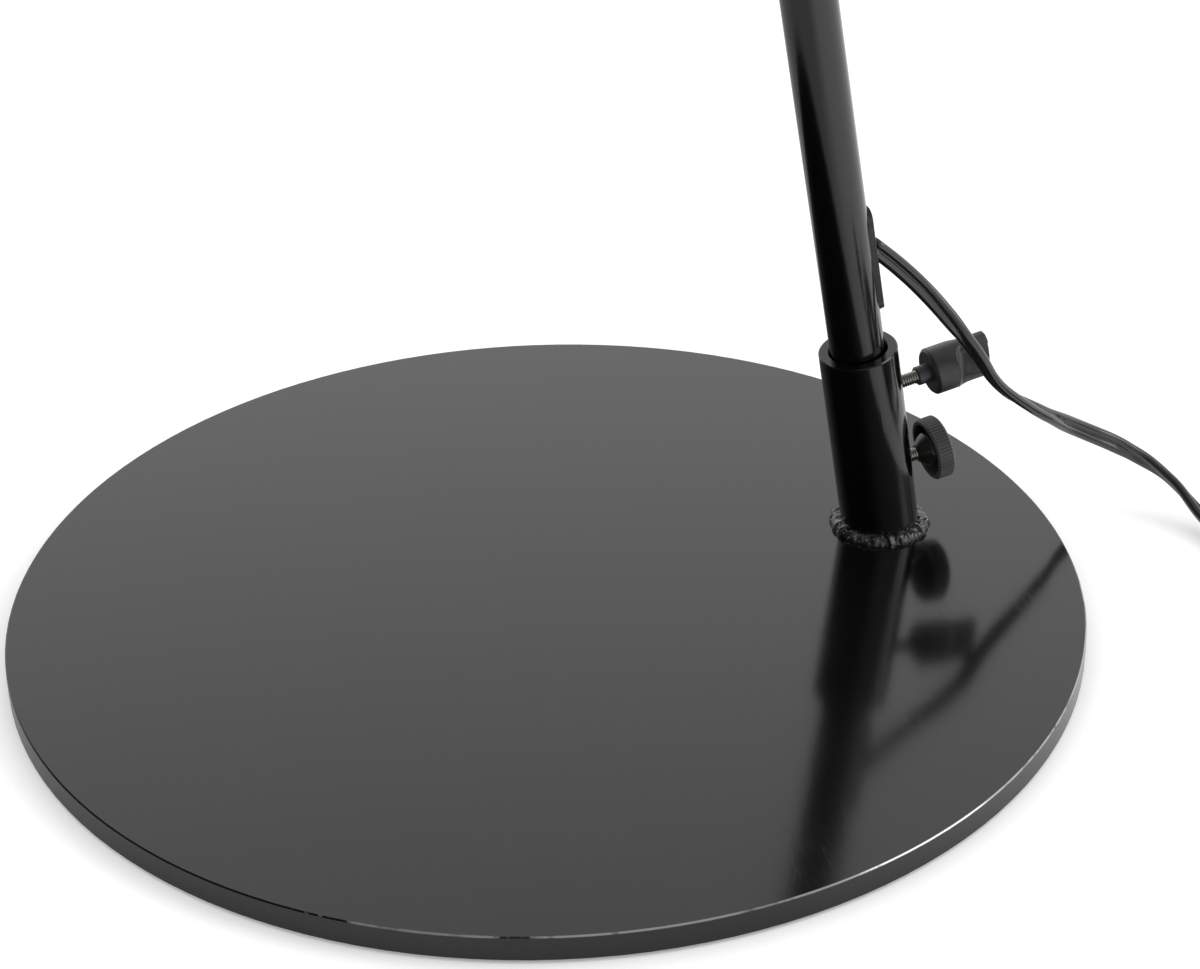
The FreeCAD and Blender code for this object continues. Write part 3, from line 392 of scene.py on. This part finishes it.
finishes = {
    "platePaint": makePlateFinish(),
    "glossPaint": skinned("glossPaint", (0.0010, 0.0010, 0.0012), (0.0016, 0.0016, 0.0018),
                          (0.1, 0.17), (1500, 0.35), (420, 0.55), (0.3, 0.00010), stretch=0.5, IOR=1.58),
    "weldPaint": makeWeldFinish(),
    "padFelt": skinned("padFelt", (0.02, 0.02, 0.02), (0.035, 0.035, 0.035), (0.85, 0.95),
                       (3200, 0.9), (700, 0.6), (0.6, 0.0003)),
    "wingZinc": makeThreadZinc("wingZinc", (0, 0.10684, 0.05670)),
    "thumbZinc": makeThreadZinc("thumbZinc", (0, 0.11087, 0.02909)),
    "knobPlastic": skinned("knobPlastic", (0.014, 0.014, 0.015), (0.021, 0.021, 0.022), (0.3, 0.42),
                           (2600, 0.5), (420, 0.3), (0.3, 0.00008), IOR=1.6),
    # the thumb knob's rim is a lighter copy of the black knob plastic, a painted glint on its ridges
    "litRimPlastic": skinned("litRimPlastic", (0.036, 0.036, 0.038), (0.050, 0.050, 0.052), (0.32, 0.44),
                          (2600, 0.5), (420, 0.3), (0.3, 0.00008), IOR=1.62),
    "hubPlastic": skinned("hubPlastic", (0.009, 0.009, 0.009), (0.014, 0.013, 0.013), (0.16, 0.26),
                          (900, 0.2), (260, 0.4), (0.15, 0.0001)),
    "grommetRubber": skinned("grommetRubber", (0.006, 0.006, 0.0065), (0.01, 0.01, 0.011), (0.26, 0.36),
                             (1800, 0.3), (300, 0.3), (0.2, 0.00008)),
    "cordJacket": skinned("cordJacket", (0.010, 0.010, 0.0118), (0.016, 0.016, 0.0185), (0.14, 0.22),
                          (1400, 0.25), (160, 0.5), (0.15, 0.0001), IOR=1.72),
    "neckMetal": skinned("neckMetal", (0.012, 0.012, 0.013), (0.02, 0.02, 0.021), (0.28, 0.4),
                         (1600, 0.3), (300, 0.4), (0.15, 0.00006)),
    "shadeOutside": skinned("shadeOutside", (0.009, 0.009, 0.0095), (0.013, 0.013, 0.0135), (0.3, 0.38),
                            (1900, 0.5), (120, 0.25), (0.25, 0.00008)),
    "shadeInside": skinned("shadeInside", (0.82, 0.82, 0.8), (0.78, 0.78, 0.755), (0.38, 0.5),
                           (1500, 0.4), (120, 0.3), (0.2, 0.00008)),
    "blackPlastic": skinned("blackPlastic", (0.02, 0.02, 0.02), (0.03, 0.03, 0.03), (0.4, 0.55),
                            (1800, 0.4), (260, 0.3), (0.25, 0.00008)),
    "brass": skinned("brass", (0.76, 0.58, 0.28), (0.62, 0.46, 0.2), (0.22, 0.36),
                     (1600, 0.3), (220, 0.3), (0.15, 0.00005), metal=1.0),
    "bulbCap": skinned("bulbCap", (0.78, 0.78, 0.77), (0.68, 0.68, 0.67), (0.22, 0.34),
                       (1200, 0.3), (200, 0.4), (0.2, 0.00006), metal=1.0),
    "bulbGlass": makeGlass(),
}
print("materials made", len(finishes))

nodeFinish = {
    "base_plate": "platePaint", "floor_pads": "padFelt", "pole_socket": "glossPaint",
    "wing_screw_stud": "wingZinc", "thumb_screw_stud": "thumbZinc", "wing_screw_collar": "knobPlastic",
    "wing_knob": "knobPlastic", "thumb_screw_hub": "hubPlastic", "thumb_knob": "litRimPlastic",
    "lower_pole": "glossPaint", "upper_pole": "glossPaint", "slot_grommet": "grommetRubber",
    "pole_coupler": "glossPaint", "neck_ferrule_lower": "glossPaint",
    "neck_ferrule_upper": "glossPaint", "switch_housing": "glossPaint", "switch_body": "blackPlastic",
    "switch_shaft": "brass", "switch_knob": "knobPlastic", "lamp_holder": "blackPlastic",
    "screw_shell": "brass", "centre_contact": "brass", "shade_ring": "blackPlastic",
    "bulb_base": "bulbCap", "bulb_globe": "bulbGlass", "plug_blades": "brass",
}


def dressNode(name):
    piece = nodes[name]
    piece.data.materials.clear()
    piece.data.materials.append(finishes[nodeFinish[name]])


for nodeName in nodeFinish:
    dressNode(nodeName)


def finished(piece, finish, slot, *replaced):
    piece.data.materials.append(finishes[finish])
    if replaced:
        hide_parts(*replaced)
    return piece


cord = {
    "wide": 0.0062, "flatWide": 0.0058, "thick": 0.0031, "groove": 0.00105,
    "exit": (-0.0017, 0.1089, 0.1072),
    "free": [(-0.0011, 0.1223, 0.0955), (0.0124, 0.1386, 0.0722), (0.0130, 0.1467, 0.0568),
             (0.0105, 0.1661, 0.0417), (0.0040, 0.1807, 0.0306), (0.0069, 0.1970, 0.0213),
             (0.0174, 0.2089, 0.0133), (0.0324, 0.2131, 0.0047), (0.0502, 0.2137, 0.0034)],
    "coilMiddle": (0.091, 0.264), "inner": 0.0248, "pitch": 0.0069, "layer": 0.0069,
    "turnsPerLayer": 3.5, "turned": -85, "pointsPerTurn": 16, "entryRun": 0.020,
    "tail": [(0.013, 0.0002), (0.030, 0.0022), (0.047, 0.0070)],
    "plugAhead": 0.060, "plugAside": 0.0132, "plugHigh": 0.015,
    # the flat side's turn about the cord: metres from the exit, degrees
    "twist": [(0, 0), (0.022, 5), (0.035, 30), (0.045, 62), (0.069, 90), (0.090, 128), (0.105, 172),
              (0.122, 184), (0.132, 226), (0.146, 268), (0.165, 305), (0.185, 345), (0.205, 360)],
    "faces": (0.805, -0.301, 0.511), "settles": (0.150, 0.230),
    "followsPole": ((-0.0017, 0.1089, 0.1072), (0.008, 0.160, 0.050)),
}


def coilPoint(turns):
    half = cord["turnsPerLayer"]
    radius = cord["inner"] + cord["pitch"] * abs(turns - half)
    if abs(turns - half) < 0.25:
        radius = cord["inner"] + cord["pitch"] * (2 * (turns - half) ** 2 + 0.125)
    height = cord["wide"] / 2 + cord["layer"] * softStep((turns - half + 0.25) / 0.5)
    angle = math.radians(cord["turned"]) + 2 * math.pi * turns
    x, y = cord["coilMiddle"]
    return Vector((x + radius * math.cos(angle), y + radius * math.sin(angle), height))


def cordRoute():
    turns = 2 * cord["turnsPerLayer"]
    count = round(turns * cord["pointsPerTurn"])
    coil = [coilPoint(turns * k / count) for k in range(count + 1)]
    step = 0.0005
    wayIn = (coilPoint(step) - coilPoint(0)).normalized()
    wayOut = (coilPoint(turns) - coilPoint(turns - step)).normalized()
    wayOut.z = 0
    entry = coil[0] - wayIn * cord["wide"]
    leave = coil[-1] + wayOut * cord["wide"]
    side = up.cross(wayOut)
    sink = (cord["plugHigh"] / 2 - leave.z) / len(cord["tail"])
    tail = [leave + wayOut * ahead + side * aside + up * sink * step
            for step, (ahead, aside) in enumerate(cord["tail"], 1)]
    plugSpot = leave + wayOut * cord["plugAhead"] + side * cord["plugAside"]
    plugSpot.z = cord["plugHigh"] / 2
    before = entry - wayIn * cord["entryRun"] + Vector((0, 0.0009, 0.0003))
    points = [Vector(cord["exit"])] + [Vector(p) for p in cord["free"]] + [before, entry]
    return points + coil + [leave] + tail + [plugSpot], plugSpot, (plugSpot - tail[-1])


def splineLine(name, points, resolution=10):
    # the smooth line of a spline through the given points, read back as a list
    curve = bpy.data.curves.new(name, "CURVE")
    curve.dimensions = "3D"
    spline = curve.splines.new("NURBS")
    spline.points.add(len(points) - 1)
    for slot, point in zip(spline.points, points):
        slot.co = (*point, 1)
    spline.order_u = 3
    spline.use_endpoint_u = True
    spline.resolution_u = resolution
    holder = shown(name, curve)
    bpy.context.view_layer.update()
    line = bpy.data.meshes.new_from_object(holder)
    places = [v.co.copy() for v in line.vertices]
    bpy.data.objects.remove(holder)
    bpy.data.meshes.remove(line)
    return [p for k, p in enumerate(places) if k == 0 or (p - places[k - 1]).length > 1e-6]


def twinSection():
    # half the outline of two round cores joined by a web, mirrored
    wide, thick, groove = cord["flatWide"] / 2, cord["thick"] / 2, cord["groove"]
    core = wide - thick
    outline = []
    for k in range(11):
        angle = math.radians(-90 + 180 * k / 10)
        outline.append((core + thick * math.cos(angle), thick * math.sin(angle)))
    outline += [(core * 0.5, thick * 0.86), (core * 0.2, thick - groove * 0.9)]
    outline += [(-x, y) for x, y in reversed(outline)]
    return outline


def twistAt(distance):
    marks = cord["twist"]
    for (start, low), (end, high) in zip(marks, marks[1:]):
        if distance <= end:
            return math.radians(low + (high - low) * softStep((distance - start) / (end - start)))
    return math.radians(marks[-1][1])


def twinTube(name, line, normalAt):
    section = twinSection()
    section += [(-x, -y) for x, y in section]
    section = ringOrder(section)
    points, walked = [], 0.0
    for k, place in enumerate(line):
        if k:
            walked += (place - line[k - 1]).length
        way = (line[min(k + 1, len(line) - 1)] - line[max(k - 1, 0)]).normalized()
        normal = normalAt(walked, way)
        normal = (normal - way * normal.dot(way)).normalized()
        side = way.cross(normal)
        points += [place + side * x + normal * y for x, y in section]
    piece = meshPiece(name, points, latheFaces(len(line), len(section), True, True))
    return piece, walked


def ringOrder(section):
    # one loop round the section, with no point twice
    ring = []
    for x, y in sorted(section, key=lambda p: math.atan2(p[1], p[0])):
        if not ring or (Vector((x, y)) - Vector(ring[-1])).length > 1e-5:
            ring.append((x, y))
    if (Vector(ring[0]) - Vector(ring[-1])).length < 1e-5:
        ring.pop()
    return ring


def freeNormal(distance, way):
    start, end = cord["settles"]
    level = softStep((distance - start) / (end - start))
    faces = Vector(cord["faces"]).normalized().lerp(up, level)
    faces = (faces - way * faces.dot(way)).normalized()
    return Matrix.Rotation(twistAt(distance), 3, way) @ faces


def makeCord():
    points, plugSpot, plugWay = cordRoute()
    line = splineLine("cordLine", points)
    piece, length = twinTube("mains_cord", line, freeNormal)
    finished(piece, "cordJacket", "cord_rubber", "cord_lead", "cord_coil", "cord_tail")
    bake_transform(piece)
    print("cord length", round(length, 4))
    return piece, line, length, plugSpot, plugWay


cordPiece, cordLine, cordLength, plugSpot, plugWay = makeCord()


plug = {"wide": 0.023, "high": 0.015, "long": 0.030, "grips": 5, "gripDepth": 0.0007,
        "neckWide": 0.0047, "neckHigh": 0.0044, "collar": 0.12, "gripsFrom": 0.52, "gripsTo": 0.9,
        "rounded": 0.95, "rounding": 0.0009, "ringDepth": 0.0006}


def makePlug():
    way = Vector((plugWay.x, plugWay.y, 0)).normalized()
    side = up.cross(way)
    stations, columns, points = 60, 40, []
    for i in range(stations + 1):
        share = i / stations
        along = share * plug["long"]
        swell = softStep((share - plug["collar"]) / 0.42)
        halfWide = plug["neckWide"] + (plug["wide"] / 2 - plug["neckWide"]) * swell
        halfHigh = plug["neckHigh"] + (plug["high"] / 2 - plug["neckHigh"]) * swell
        if plug["gripsFrom"] < share < plug["gripsTo"]:   # finger ribs on the two broad sides
            gripShare = (share - plug["gripsFrom"]) / (plug["gripsTo"] - plug["gripsFrom"])
            halfWide -= plug["gripDepth"] * (0.5 - 0.5 * math.cos(gripShare * 2 * math.pi * plug["grips"]))
        if share > plug["rounded"]:
            rounding = plug["rounding"] * ((share - plug["rounded"]) / (1 - plug["rounded"])) ** 2
            halfWide -= rounding
            halfHigh -= rounding
        if share < plug["collar"]:   # the collar round the cord, with two soft rings
            ring = 0.5 - 0.5 * math.cos(share / plug["collar"] * 4 * math.pi)
            halfWide -= plug["ringDepth"] * ring
        power = 2 + 2.2 * swell
        for j in range(columns):
            angle = 2 * math.pi * j / columns
            c, s = math.cos(angle), math.sin(angle)
            x = math.copysign(abs(c) ** (2 / power), c) * halfWide
            z = math.copysign(abs(s) ** (2 / power), s) * halfHigh
            points.append(plugSpot + way * along + side * x + up * z)
    piece = meshPiece("plug_shell", points, latheFaces(stations + 1, columns, True, True))
    finished(piece, "blackPlastic", "plug_rubber", "plug_body")
    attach(piece, "base")
    return piece


plugPiece = makePlug()
print("cord and plug made")


pole = {"foot": (0, 0.113925, 0.010600), "lean": 8.8, "slotDrop": 0.00156, "lip": 0.0100,
        "exitHeight": 0.0978, "slope": 35}
poleUp = Vector((0, -math.sin(math.radians(pole["lean"])), math.cos(math.radians(pole["lean"]))))


def makeInnerLead():
    foot = Vector(pole["foot"]) - poleUp * pole["slotDrop"]
    slope = math.tan(math.radians(pole["slope"]))
    exitSpot = Vector(cord["exit"])
    corner = foot + poleUp * (pole["exitHeight"] + pole["lip"] * slope)
    top = Vector(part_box("pole_lead")[1])
    topSpot = foot + poleUp * ((top.z - foot.z) / poleUp.z - 0.002)
    points = [exitSpot, corner.lerp(exitSpot, 0.35), corner + poleUp * 0.006, corner + poleUp * 0.04,
              topSpot]
    line = splineLine("innerLine", points, 24)

    def innerNormal(distance, way):
        faces = Vector(cord["faces"]).normalized()
        return (faces - way * faces.dot(way)).normalized()

    piece, length = twinTube("inner_lead", line, innerNormal)
    finished(piece, "cordJacket", "cord_rubber", "pole_lead")
    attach(piece, "pole")


makeInnerLead()

weld = {"middle": (0, 0.1138, 0.009), "lean": 8.3, "tube": 0.0123, "size": 0.0036, "around": 320,
        "profile": 18, "ripples": 21, "seed": 11, "lumps": 0.26, "rippled": 0.07, "outward": 1.1,
        "upward": 0.8, "bulge": 0.08, "inset": 0.0006, "coarse": (620, 0.0004), "fine": (1500, 0.00016)}


def makeWeld():
    random.seed(weld["seed"])
    middle, lean = Vector(weld["middle"]), math.radians(weld["lean"])
    socketUp = Vector((0, -math.sin(lean), math.cos(lean)))
    points = []
    shift = Vector((random.random(), random.random(), random.random())) * 10
    for i in range(weld["around"]):
        angle = 2 * math.pi * i / weld["around"]
        out = Vector((math.cos(angle), math.sin(angle), 0))
        lump = noise.noise(out * 2.2 + shift) * 0.9 + noise.noise(out * 7.5 + shift) * 0.6
        phase = (angle * weld["ripples"] / (2 * math.pi) + 0.5 * noise.noise(out * 3 + shift)) % 1
        scale = 1 + weld["lumps"] * lump + weld["rippled"] * (1 - abs(2 * phase - 1))
        reachOut, reachUp = weld["size"] * scale * weld["outward"], weld["size"] * scale * weld["upward"]
        for j in range(weld["profile"]):
            t = j / (weld["profile"] - 1)
            bulge = math.sin(math.pi * t) * weld["bulge"]
            share = t * math.pi / 2
            outward = reachOut * (math.cos(share) ** 1.1 + bulge * 0.5)
            upward = reachUp * (math.sin(share) ** 1.1 + bulge * 0.35)
            spot = out * (weld["tube"] - weld["inset"] + outward)
            wobble = sum(noise.noise((spot + middle) * often) * deep
                         for often, deep in (weld["coarse"], weld["fine"]))
            rise = max(upward + wobble * math.sin(math.pi * t), -0.0002)
            base = middle + spot + up * -0.0001
            points.append(base + socketUp * rise + out * wobble)
    piece = meshPiece("weld_bead", points, gridFaces(weld["around"], weld["profile"], True, False))
    finished(piece, "weldPaint", "weld_paint", "socket_weld")
    thicken = piece.modifiers.new("back", "SOLIDIFY")
    thicken.thickness = weld["inset"]
    thicken.offset = 1
    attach(piece, "base")


makeWeld()
print("weld made")

neck = {"links": 10, "link": 0.040, "bend": 138 / 11, "core": 0.00572, "ridge": 0.00048,
        "pitch": 0.0026, "around": 40, "rows": 0.00033, "startInFerrule": 0.008, "endInHead": 0.0035}


def jointOf(index):
    names = ["pole"] + [f"neck_{k:02d}" for k in range(1, neck["links"] + 1)] + ["head"]
    for joint in frame["joints"]:
        if joint["parent"] == names[index] and joint["child"] == names[index + 1]:
            return Vector(joint["pos_m"]), names[index], names[index + 1]
    raise ValueError(f"no neck joint {index}")


def leanedUp(degrees):
    angle = math.radians(degrees)
    return Vector((0, -math.sin(angle), math.cos(angle))), Vector((0, math.cos(angle), math.sin(angle)))


def makeNeckSkin(index, walked):
    # one stretch of wound hose over a joint, from the middle of a link to the middle of the next
    spot, parent, child = jointOf(index)
    first, last = index == 0, index == neck["links"]
    lean = pole["lean"] + neck["bend"] * index
    before, _ = leanedUp(lean)
    after, _ = leanedUp(lean + neck["bend"])
    half = neck["link"] / 2
    lead = neck["startInFerrule"] if first else half
    trail = neck["endInHead"] if last else half
    reach = min(lead, trail)
    turn = math.radians(neck["bend"])
    radius = reach / math.tan(turn / 2)
    start = spot - before * lead
    straightIn, arc, straightOut = lead - reach, radius * turn, trail - reach
    total = straightIn + arc + straightOut
    rows = int(total / neck["rows"])
    columns, points = neck["around"], []
    _, back = leanedUp(lean)
    middle = spot - before * reach - back * radius
    for i in range(rows + 1):
        s = total * i / rows
        if s < straightIn:
            centre, degrees = start + before * s, lean
        elif s < straightIn + arc:
            degrees = lean + math.degrees((s - straightIn) / radius)
            _, outward = leanedUp(degrees)
            centre = middle + outward * radius
        else:
            centre, degrees = spot + after * (reach + s - straightIn - arc), lean + neck["bend"]
        _, backward = leanedUp(degrees)
        for j in range(columns):
            angle = 2 * math.pi * j / columns
            phase = ((walked + s) / neck["pitch"] + j / columns) % 1
            crest = math.sin(math.pi * min(phase / 0.8, 1)) ** 0.6 if phase < 0.8 else 0.0
            size = neck["core"] + neck["ridge"] * crest
            points.append(centre + across * (size * math.cos(angle))
                          + backward * (size * math.sin(angle)))
    piece = meshPiece(f"neck_skin_{index + 1:02d}", points, gridFaces(rows + 1, columns))
    finished(piece, "neckMetal", "neck_metal")
    if not last:
        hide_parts(f"neck_link_{index + 1:02d}")
    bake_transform(piece)
    return walked + total


neckWalked = 0.0
for neckIndex in range(neck["links"] + 1):
    neckWalked = makeNeckSkin(neckIndex, neckWalked)
print("neck made", round(neckWalked, 4))

shade = {"start": 0.064, "hole": 0.0147, "neckRadius": 0.022, "neckLong": 0.020, "mouth": 0.068,
         "long": 0.142, "sheet": 0.0012, "bead": 0.0011, "around": 128, "steps": 60}


def headFrame():
    spot, _, _ = jointOf(neck["links"])
    along, outward = leanedUp(pole["lean"] + neck["bend"] * (neck["links"] + 1))
    return spot, along, outward


def bellPoint(share, inset):
    radius = shade["neckRadius"] + (shade["mouth"] - shade["neckRadius"]) * math.sin(
        share * math.pi / 2) ** 0.9
    height = shade["neckLong"] + (shade["long"] - shade["neckLong"]) * share
    return radius - inset, height + inset * 0.35 * (1 - share)


def roundOver(centre, radius, start, end, count):
    return [(centre[0] + radius * math.cos(math.radians(start + (end - start) * k / count)),
             centre[1] + radius * math.sin(math.radians(start + (end - start) * k / count)))
            for k in range(count + 1)]


def makeShade():
    spot, along, outward = headFrame()
    origin = spot + along * shade["start"]
    sheet, neckR, long = shade["sheet"], shade["neckRadius"], shade["long"]
    steps = shade["steps"]
    outside = [(shade["hole"], 0.0)] + roundOver((neckR - 0.003, 0.003), 0.003, -90, 0, 8)
    outside += [bellPoint(k / steps, 0) for k in range(steps + 1)]
    rolled = roundOver((shade["mouth"] - 0.0003, long + 0.0009), shade["bead"], 0, 180, 12)
    inside = [bellPoint(k / steps, sheet) for k in range(steps, -1, -1)]
    inside += roundOver((neckR - 0.0032, 0.0034), 0.0022, 0, -90, 6) + [(shade["hole"], sheet)]
    columns = shade["around"]
    for label, profile, finish in (("shade_outside", outside + rolled, "shadeOutside"),
                                   ("shade_inside", [rolled[-1]] + inside, "shadeInside")):
        points = []
        for radius, height in profile:
            for j in range(columns):
                angle = 2 * math.pi * j / columns
                points.append(origin + along * height + across * (radius * math.cos(angle))
                              + outward * (radius * math.sin(angle)))
        piece = meshPiece(label, points, gridFaces(len(profile), columns))
        finished(piece, finish, "shade_paint", "shade")
        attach(piece, "head")


makeShade()
print("shade made")


def softenNode(name, voxel, passes):
    # the moulded edges are rounded a little, on the node's own shape
    piece = nodes[name]
    remesh = piece.modifiers.new("even", "REMESH")
    remesh.mode = "VOXEL"
    remesh.voxel_size = voxel
    remesh.use_smooth_shade = True
    soften = piece.modifiers.new("round", "CORRECTIVE_SMOOTH")
    soften.factor = 0.5
    soften.iterations = passes
    soften.use_only_smooth = True


softenNode("wing_knob", 0.00021, 2)


sharpAngle = 28


def smoothByAngle(name):
    mesh = nodes[name].data
    mesh.polygons.foreach_set("use_smooth", [True] * len(mesh.polygons))
    mesh.set_sharp_from_angle(angle=math.radians(sharpAngle))


for nodeName in nodeFinish:
    if nodeName not in ("wing_knob", "floor_pads"):
        smoothByAngle(nodeName)


studio = {"floor": (0.93, 0.93, 0.93), "floorLift": 0.2, "floorSize": 14, "world": 0.95,
          "dimSide": (0.157, -0.990, 0.0), "dimFrom": 0.22, "dimSlope": 2.6, "dimLow": 0.06,
          "front": (0.936, -0.351, 0.0), "frontFrom": -0.1, "frontSlope": 2.2, "frontDim": 0.24,
          "floorAt": (0.0, 0.114, 0.0), "floorSide": (0.351, 0.936, 0.0), "floorBase": 0.62,
          "floorRise": 2.6, "floorLow": 0.5,
          "skyAt": 0.47, "skyLevel": 1.12, "skyFall": 2.6, "skyLow": 0.45,
          "keyPower": 16, "keySize": 1.6, "keyPlace": (0.92, 2.09, 1.9), "keyAim": (0, 0.1, 0.1)}


def makeFloor():
    half = studio["floorSize"] / 2
    floor = meshPiece("floor", [(-half, -half, 0), (half, -half, 0), (half, half, 0), (-half, half, 0)],
                      [(0, 1, 2, 3)], False)
    material, tree, shader = newMaterial("paleFloor", studio["floor"], 0.9)
    shader.inputs["Specular IOR Level"].default_value = 0
    path = addNode(tree, "ShaderNodeLightPath")
    glossy = path.outputs["Is Glossy Ray"]
    # reflections see a floor that is darker in front of the lamp than beside it
    coords = addNode(tree, "ShaderNodeTexCoord")
    apart = addNode(tree, "ShaderNodeVectorMath", operation="SUBTRACT")
    wire(tree, coords.outputs["Object"], apart.inputs[0])
    apart.inputs[1].default_value = studio["floorAt"]
    along = addNode(tree, "ShaderNodeVectorMath", operation="DOT_PRODUCT")
    wire(tree, apart.outputs[0], along.inputs[0])
    along.inputs[1].default_value = studio["floorSide"]
    rise = mathNode(tree, "MULTIPLY", along.outputs["Value"], studio["floorRise"])
    level = mathNode(tree, "MAXIMUM", mathNode(tree, "ADD", rise, studio["floorBase"], clamp=True),
                     studio["floorLow"])
    kept = mathNode(tree, "SUBTRACT", 1.0, mathNode(tree, "MULTIPLY", glossy, mathNode(
        tree, "SUBTRACT", 1.0, level)))
    wire(tree, mixColour(tree, kept, (0.0, 0.0, 0.0), studio["floor"]), shader.inputs["Base Color"])
    seen = mathNode(tree, "MAXIMUM", path.outputs["Is Camera Ray"], mathNode(
        tree, "MULTIPLY", glossy, level))
    shader.inputs["Emission Color"].default_value = (1, 1, 1, 1)
    wire(tree, mathNode(tree, "MULTIPLY", seen, studio["floorLift"]), shader.inputs["Emission Strength"])
    floor.data.materials.append(material)


def makeWorld():
    world = bpy.data.worlds.new("studio")
    world.use_nodes = True
    bpy.context.scene.world = world
    tree = world.node_tree
    background = tree.nodes["Background"]
    path = addNode(tree, "ShaderNodeLightPath")
    coords = addNode(tree, "ShaderNodeTexCoord")
    toDim = addNode(tree, "ShaderNodeVectorMath", operation="DOT_PRODUCT")
    wire(tree, coords.outputs["Generated"], toDim.inputs[0])
    toDim.inputs[1].default_value = Vector(studio["dimSide"]).normalized()
    # the room is unlit on one side, which only reflections show
    shade = mathNode(tree, "MULTIPLY", mathNode(tree, "SUBTRACT", toDim.outputs["Value"],
                                                studio["dimFrom"]), studio["dimSlope"], clamp=True)
    # and darker overhead, and a little darker towards the viewer
    height = addNode(tree, "ShaderNodeSeparateXYZ")
    wire(tree, coords.outputs["Generated"], height.inputs[0])
    fall = mathNode(tree, "MULTIPLY", mathNode(tree, "SUBTRACT", height.outputs[2], studio["skyAt"]),
                    studio["skyFall"])
    sky = mathNode(tree, "SUBTRACT", studio["skyLevel"], fall)
    sky = mathNode(tree, "MINIMUM", mathNode(tree, "MAXIMUM", sky, studio["skyLow"]), studio["skyLevel"])
    toFront = addNode(tree, "ShaderNodeVectorMath", operation="DOT_PRODUCT")
    wire(tree, coords.outputs["Generated"], toFront.inputs[0])
    toFront.inputs[1].default_value = studio["front"]
    front = mathNode(tree, "MULTIPLY", mathNode(tree, "SUBTRACT", toFront.outputs["Value"],
                                                studio["frontFrom"]), studio["frontSlope"], clamp=True)
    sky = mathNode(tree, "MULTIPLY", sky, mathNode(
        tree, "SUBTRACT", 1.0, mathNode(tree, "MULTIPLY", front, studio["frontDim"])))
    room = mathNode(tree, "MULTIPLY", sky, mathNode(
        tree, "SUBTRACT", 1.0, mathNode(tree, "MULTIPLY", shade, 1 - studio["dimLow"])))
    plain = mathNode(tree, "MULTIPLY", mathNode(
        tree, "SUBTRACT", 1.0, path.outputs["Is Glossy Ray"]), studio["world"])
    lit = mathNode(tree, "ADD", plain, mathNode(tree, "MULTIPLY", room, path.outputs["Is Glossy Ray"]))
    level = mathNode(tree, "MAXIMUM", lit, path.outputs["Is Camera Ray"])
    wire(tree, level, background.inputs["Strength"])
    background.inputs["Color"].default_value = (1, 1, 1, 1)


def makeKey():
    light = bpy.data.lights.new("softKey", "AREA")
    light.shape = "DISK"
    light.size = studio["keySize"]
    light.energy = studio["keyPower"]
    lamp = shown("softKey", light)
    place = Vector(studio["keyPlace"])
    lamp.location = place
    lamp.rotation_euler = (Vector(studio["keyAim"]) - place).to_track_quat("-Z", "Y").to_euler()


makeFloor()
makeWorld()
makeKey()
bpy.context.scene.view_settings.view_transform = "Standard"
print("studio made")
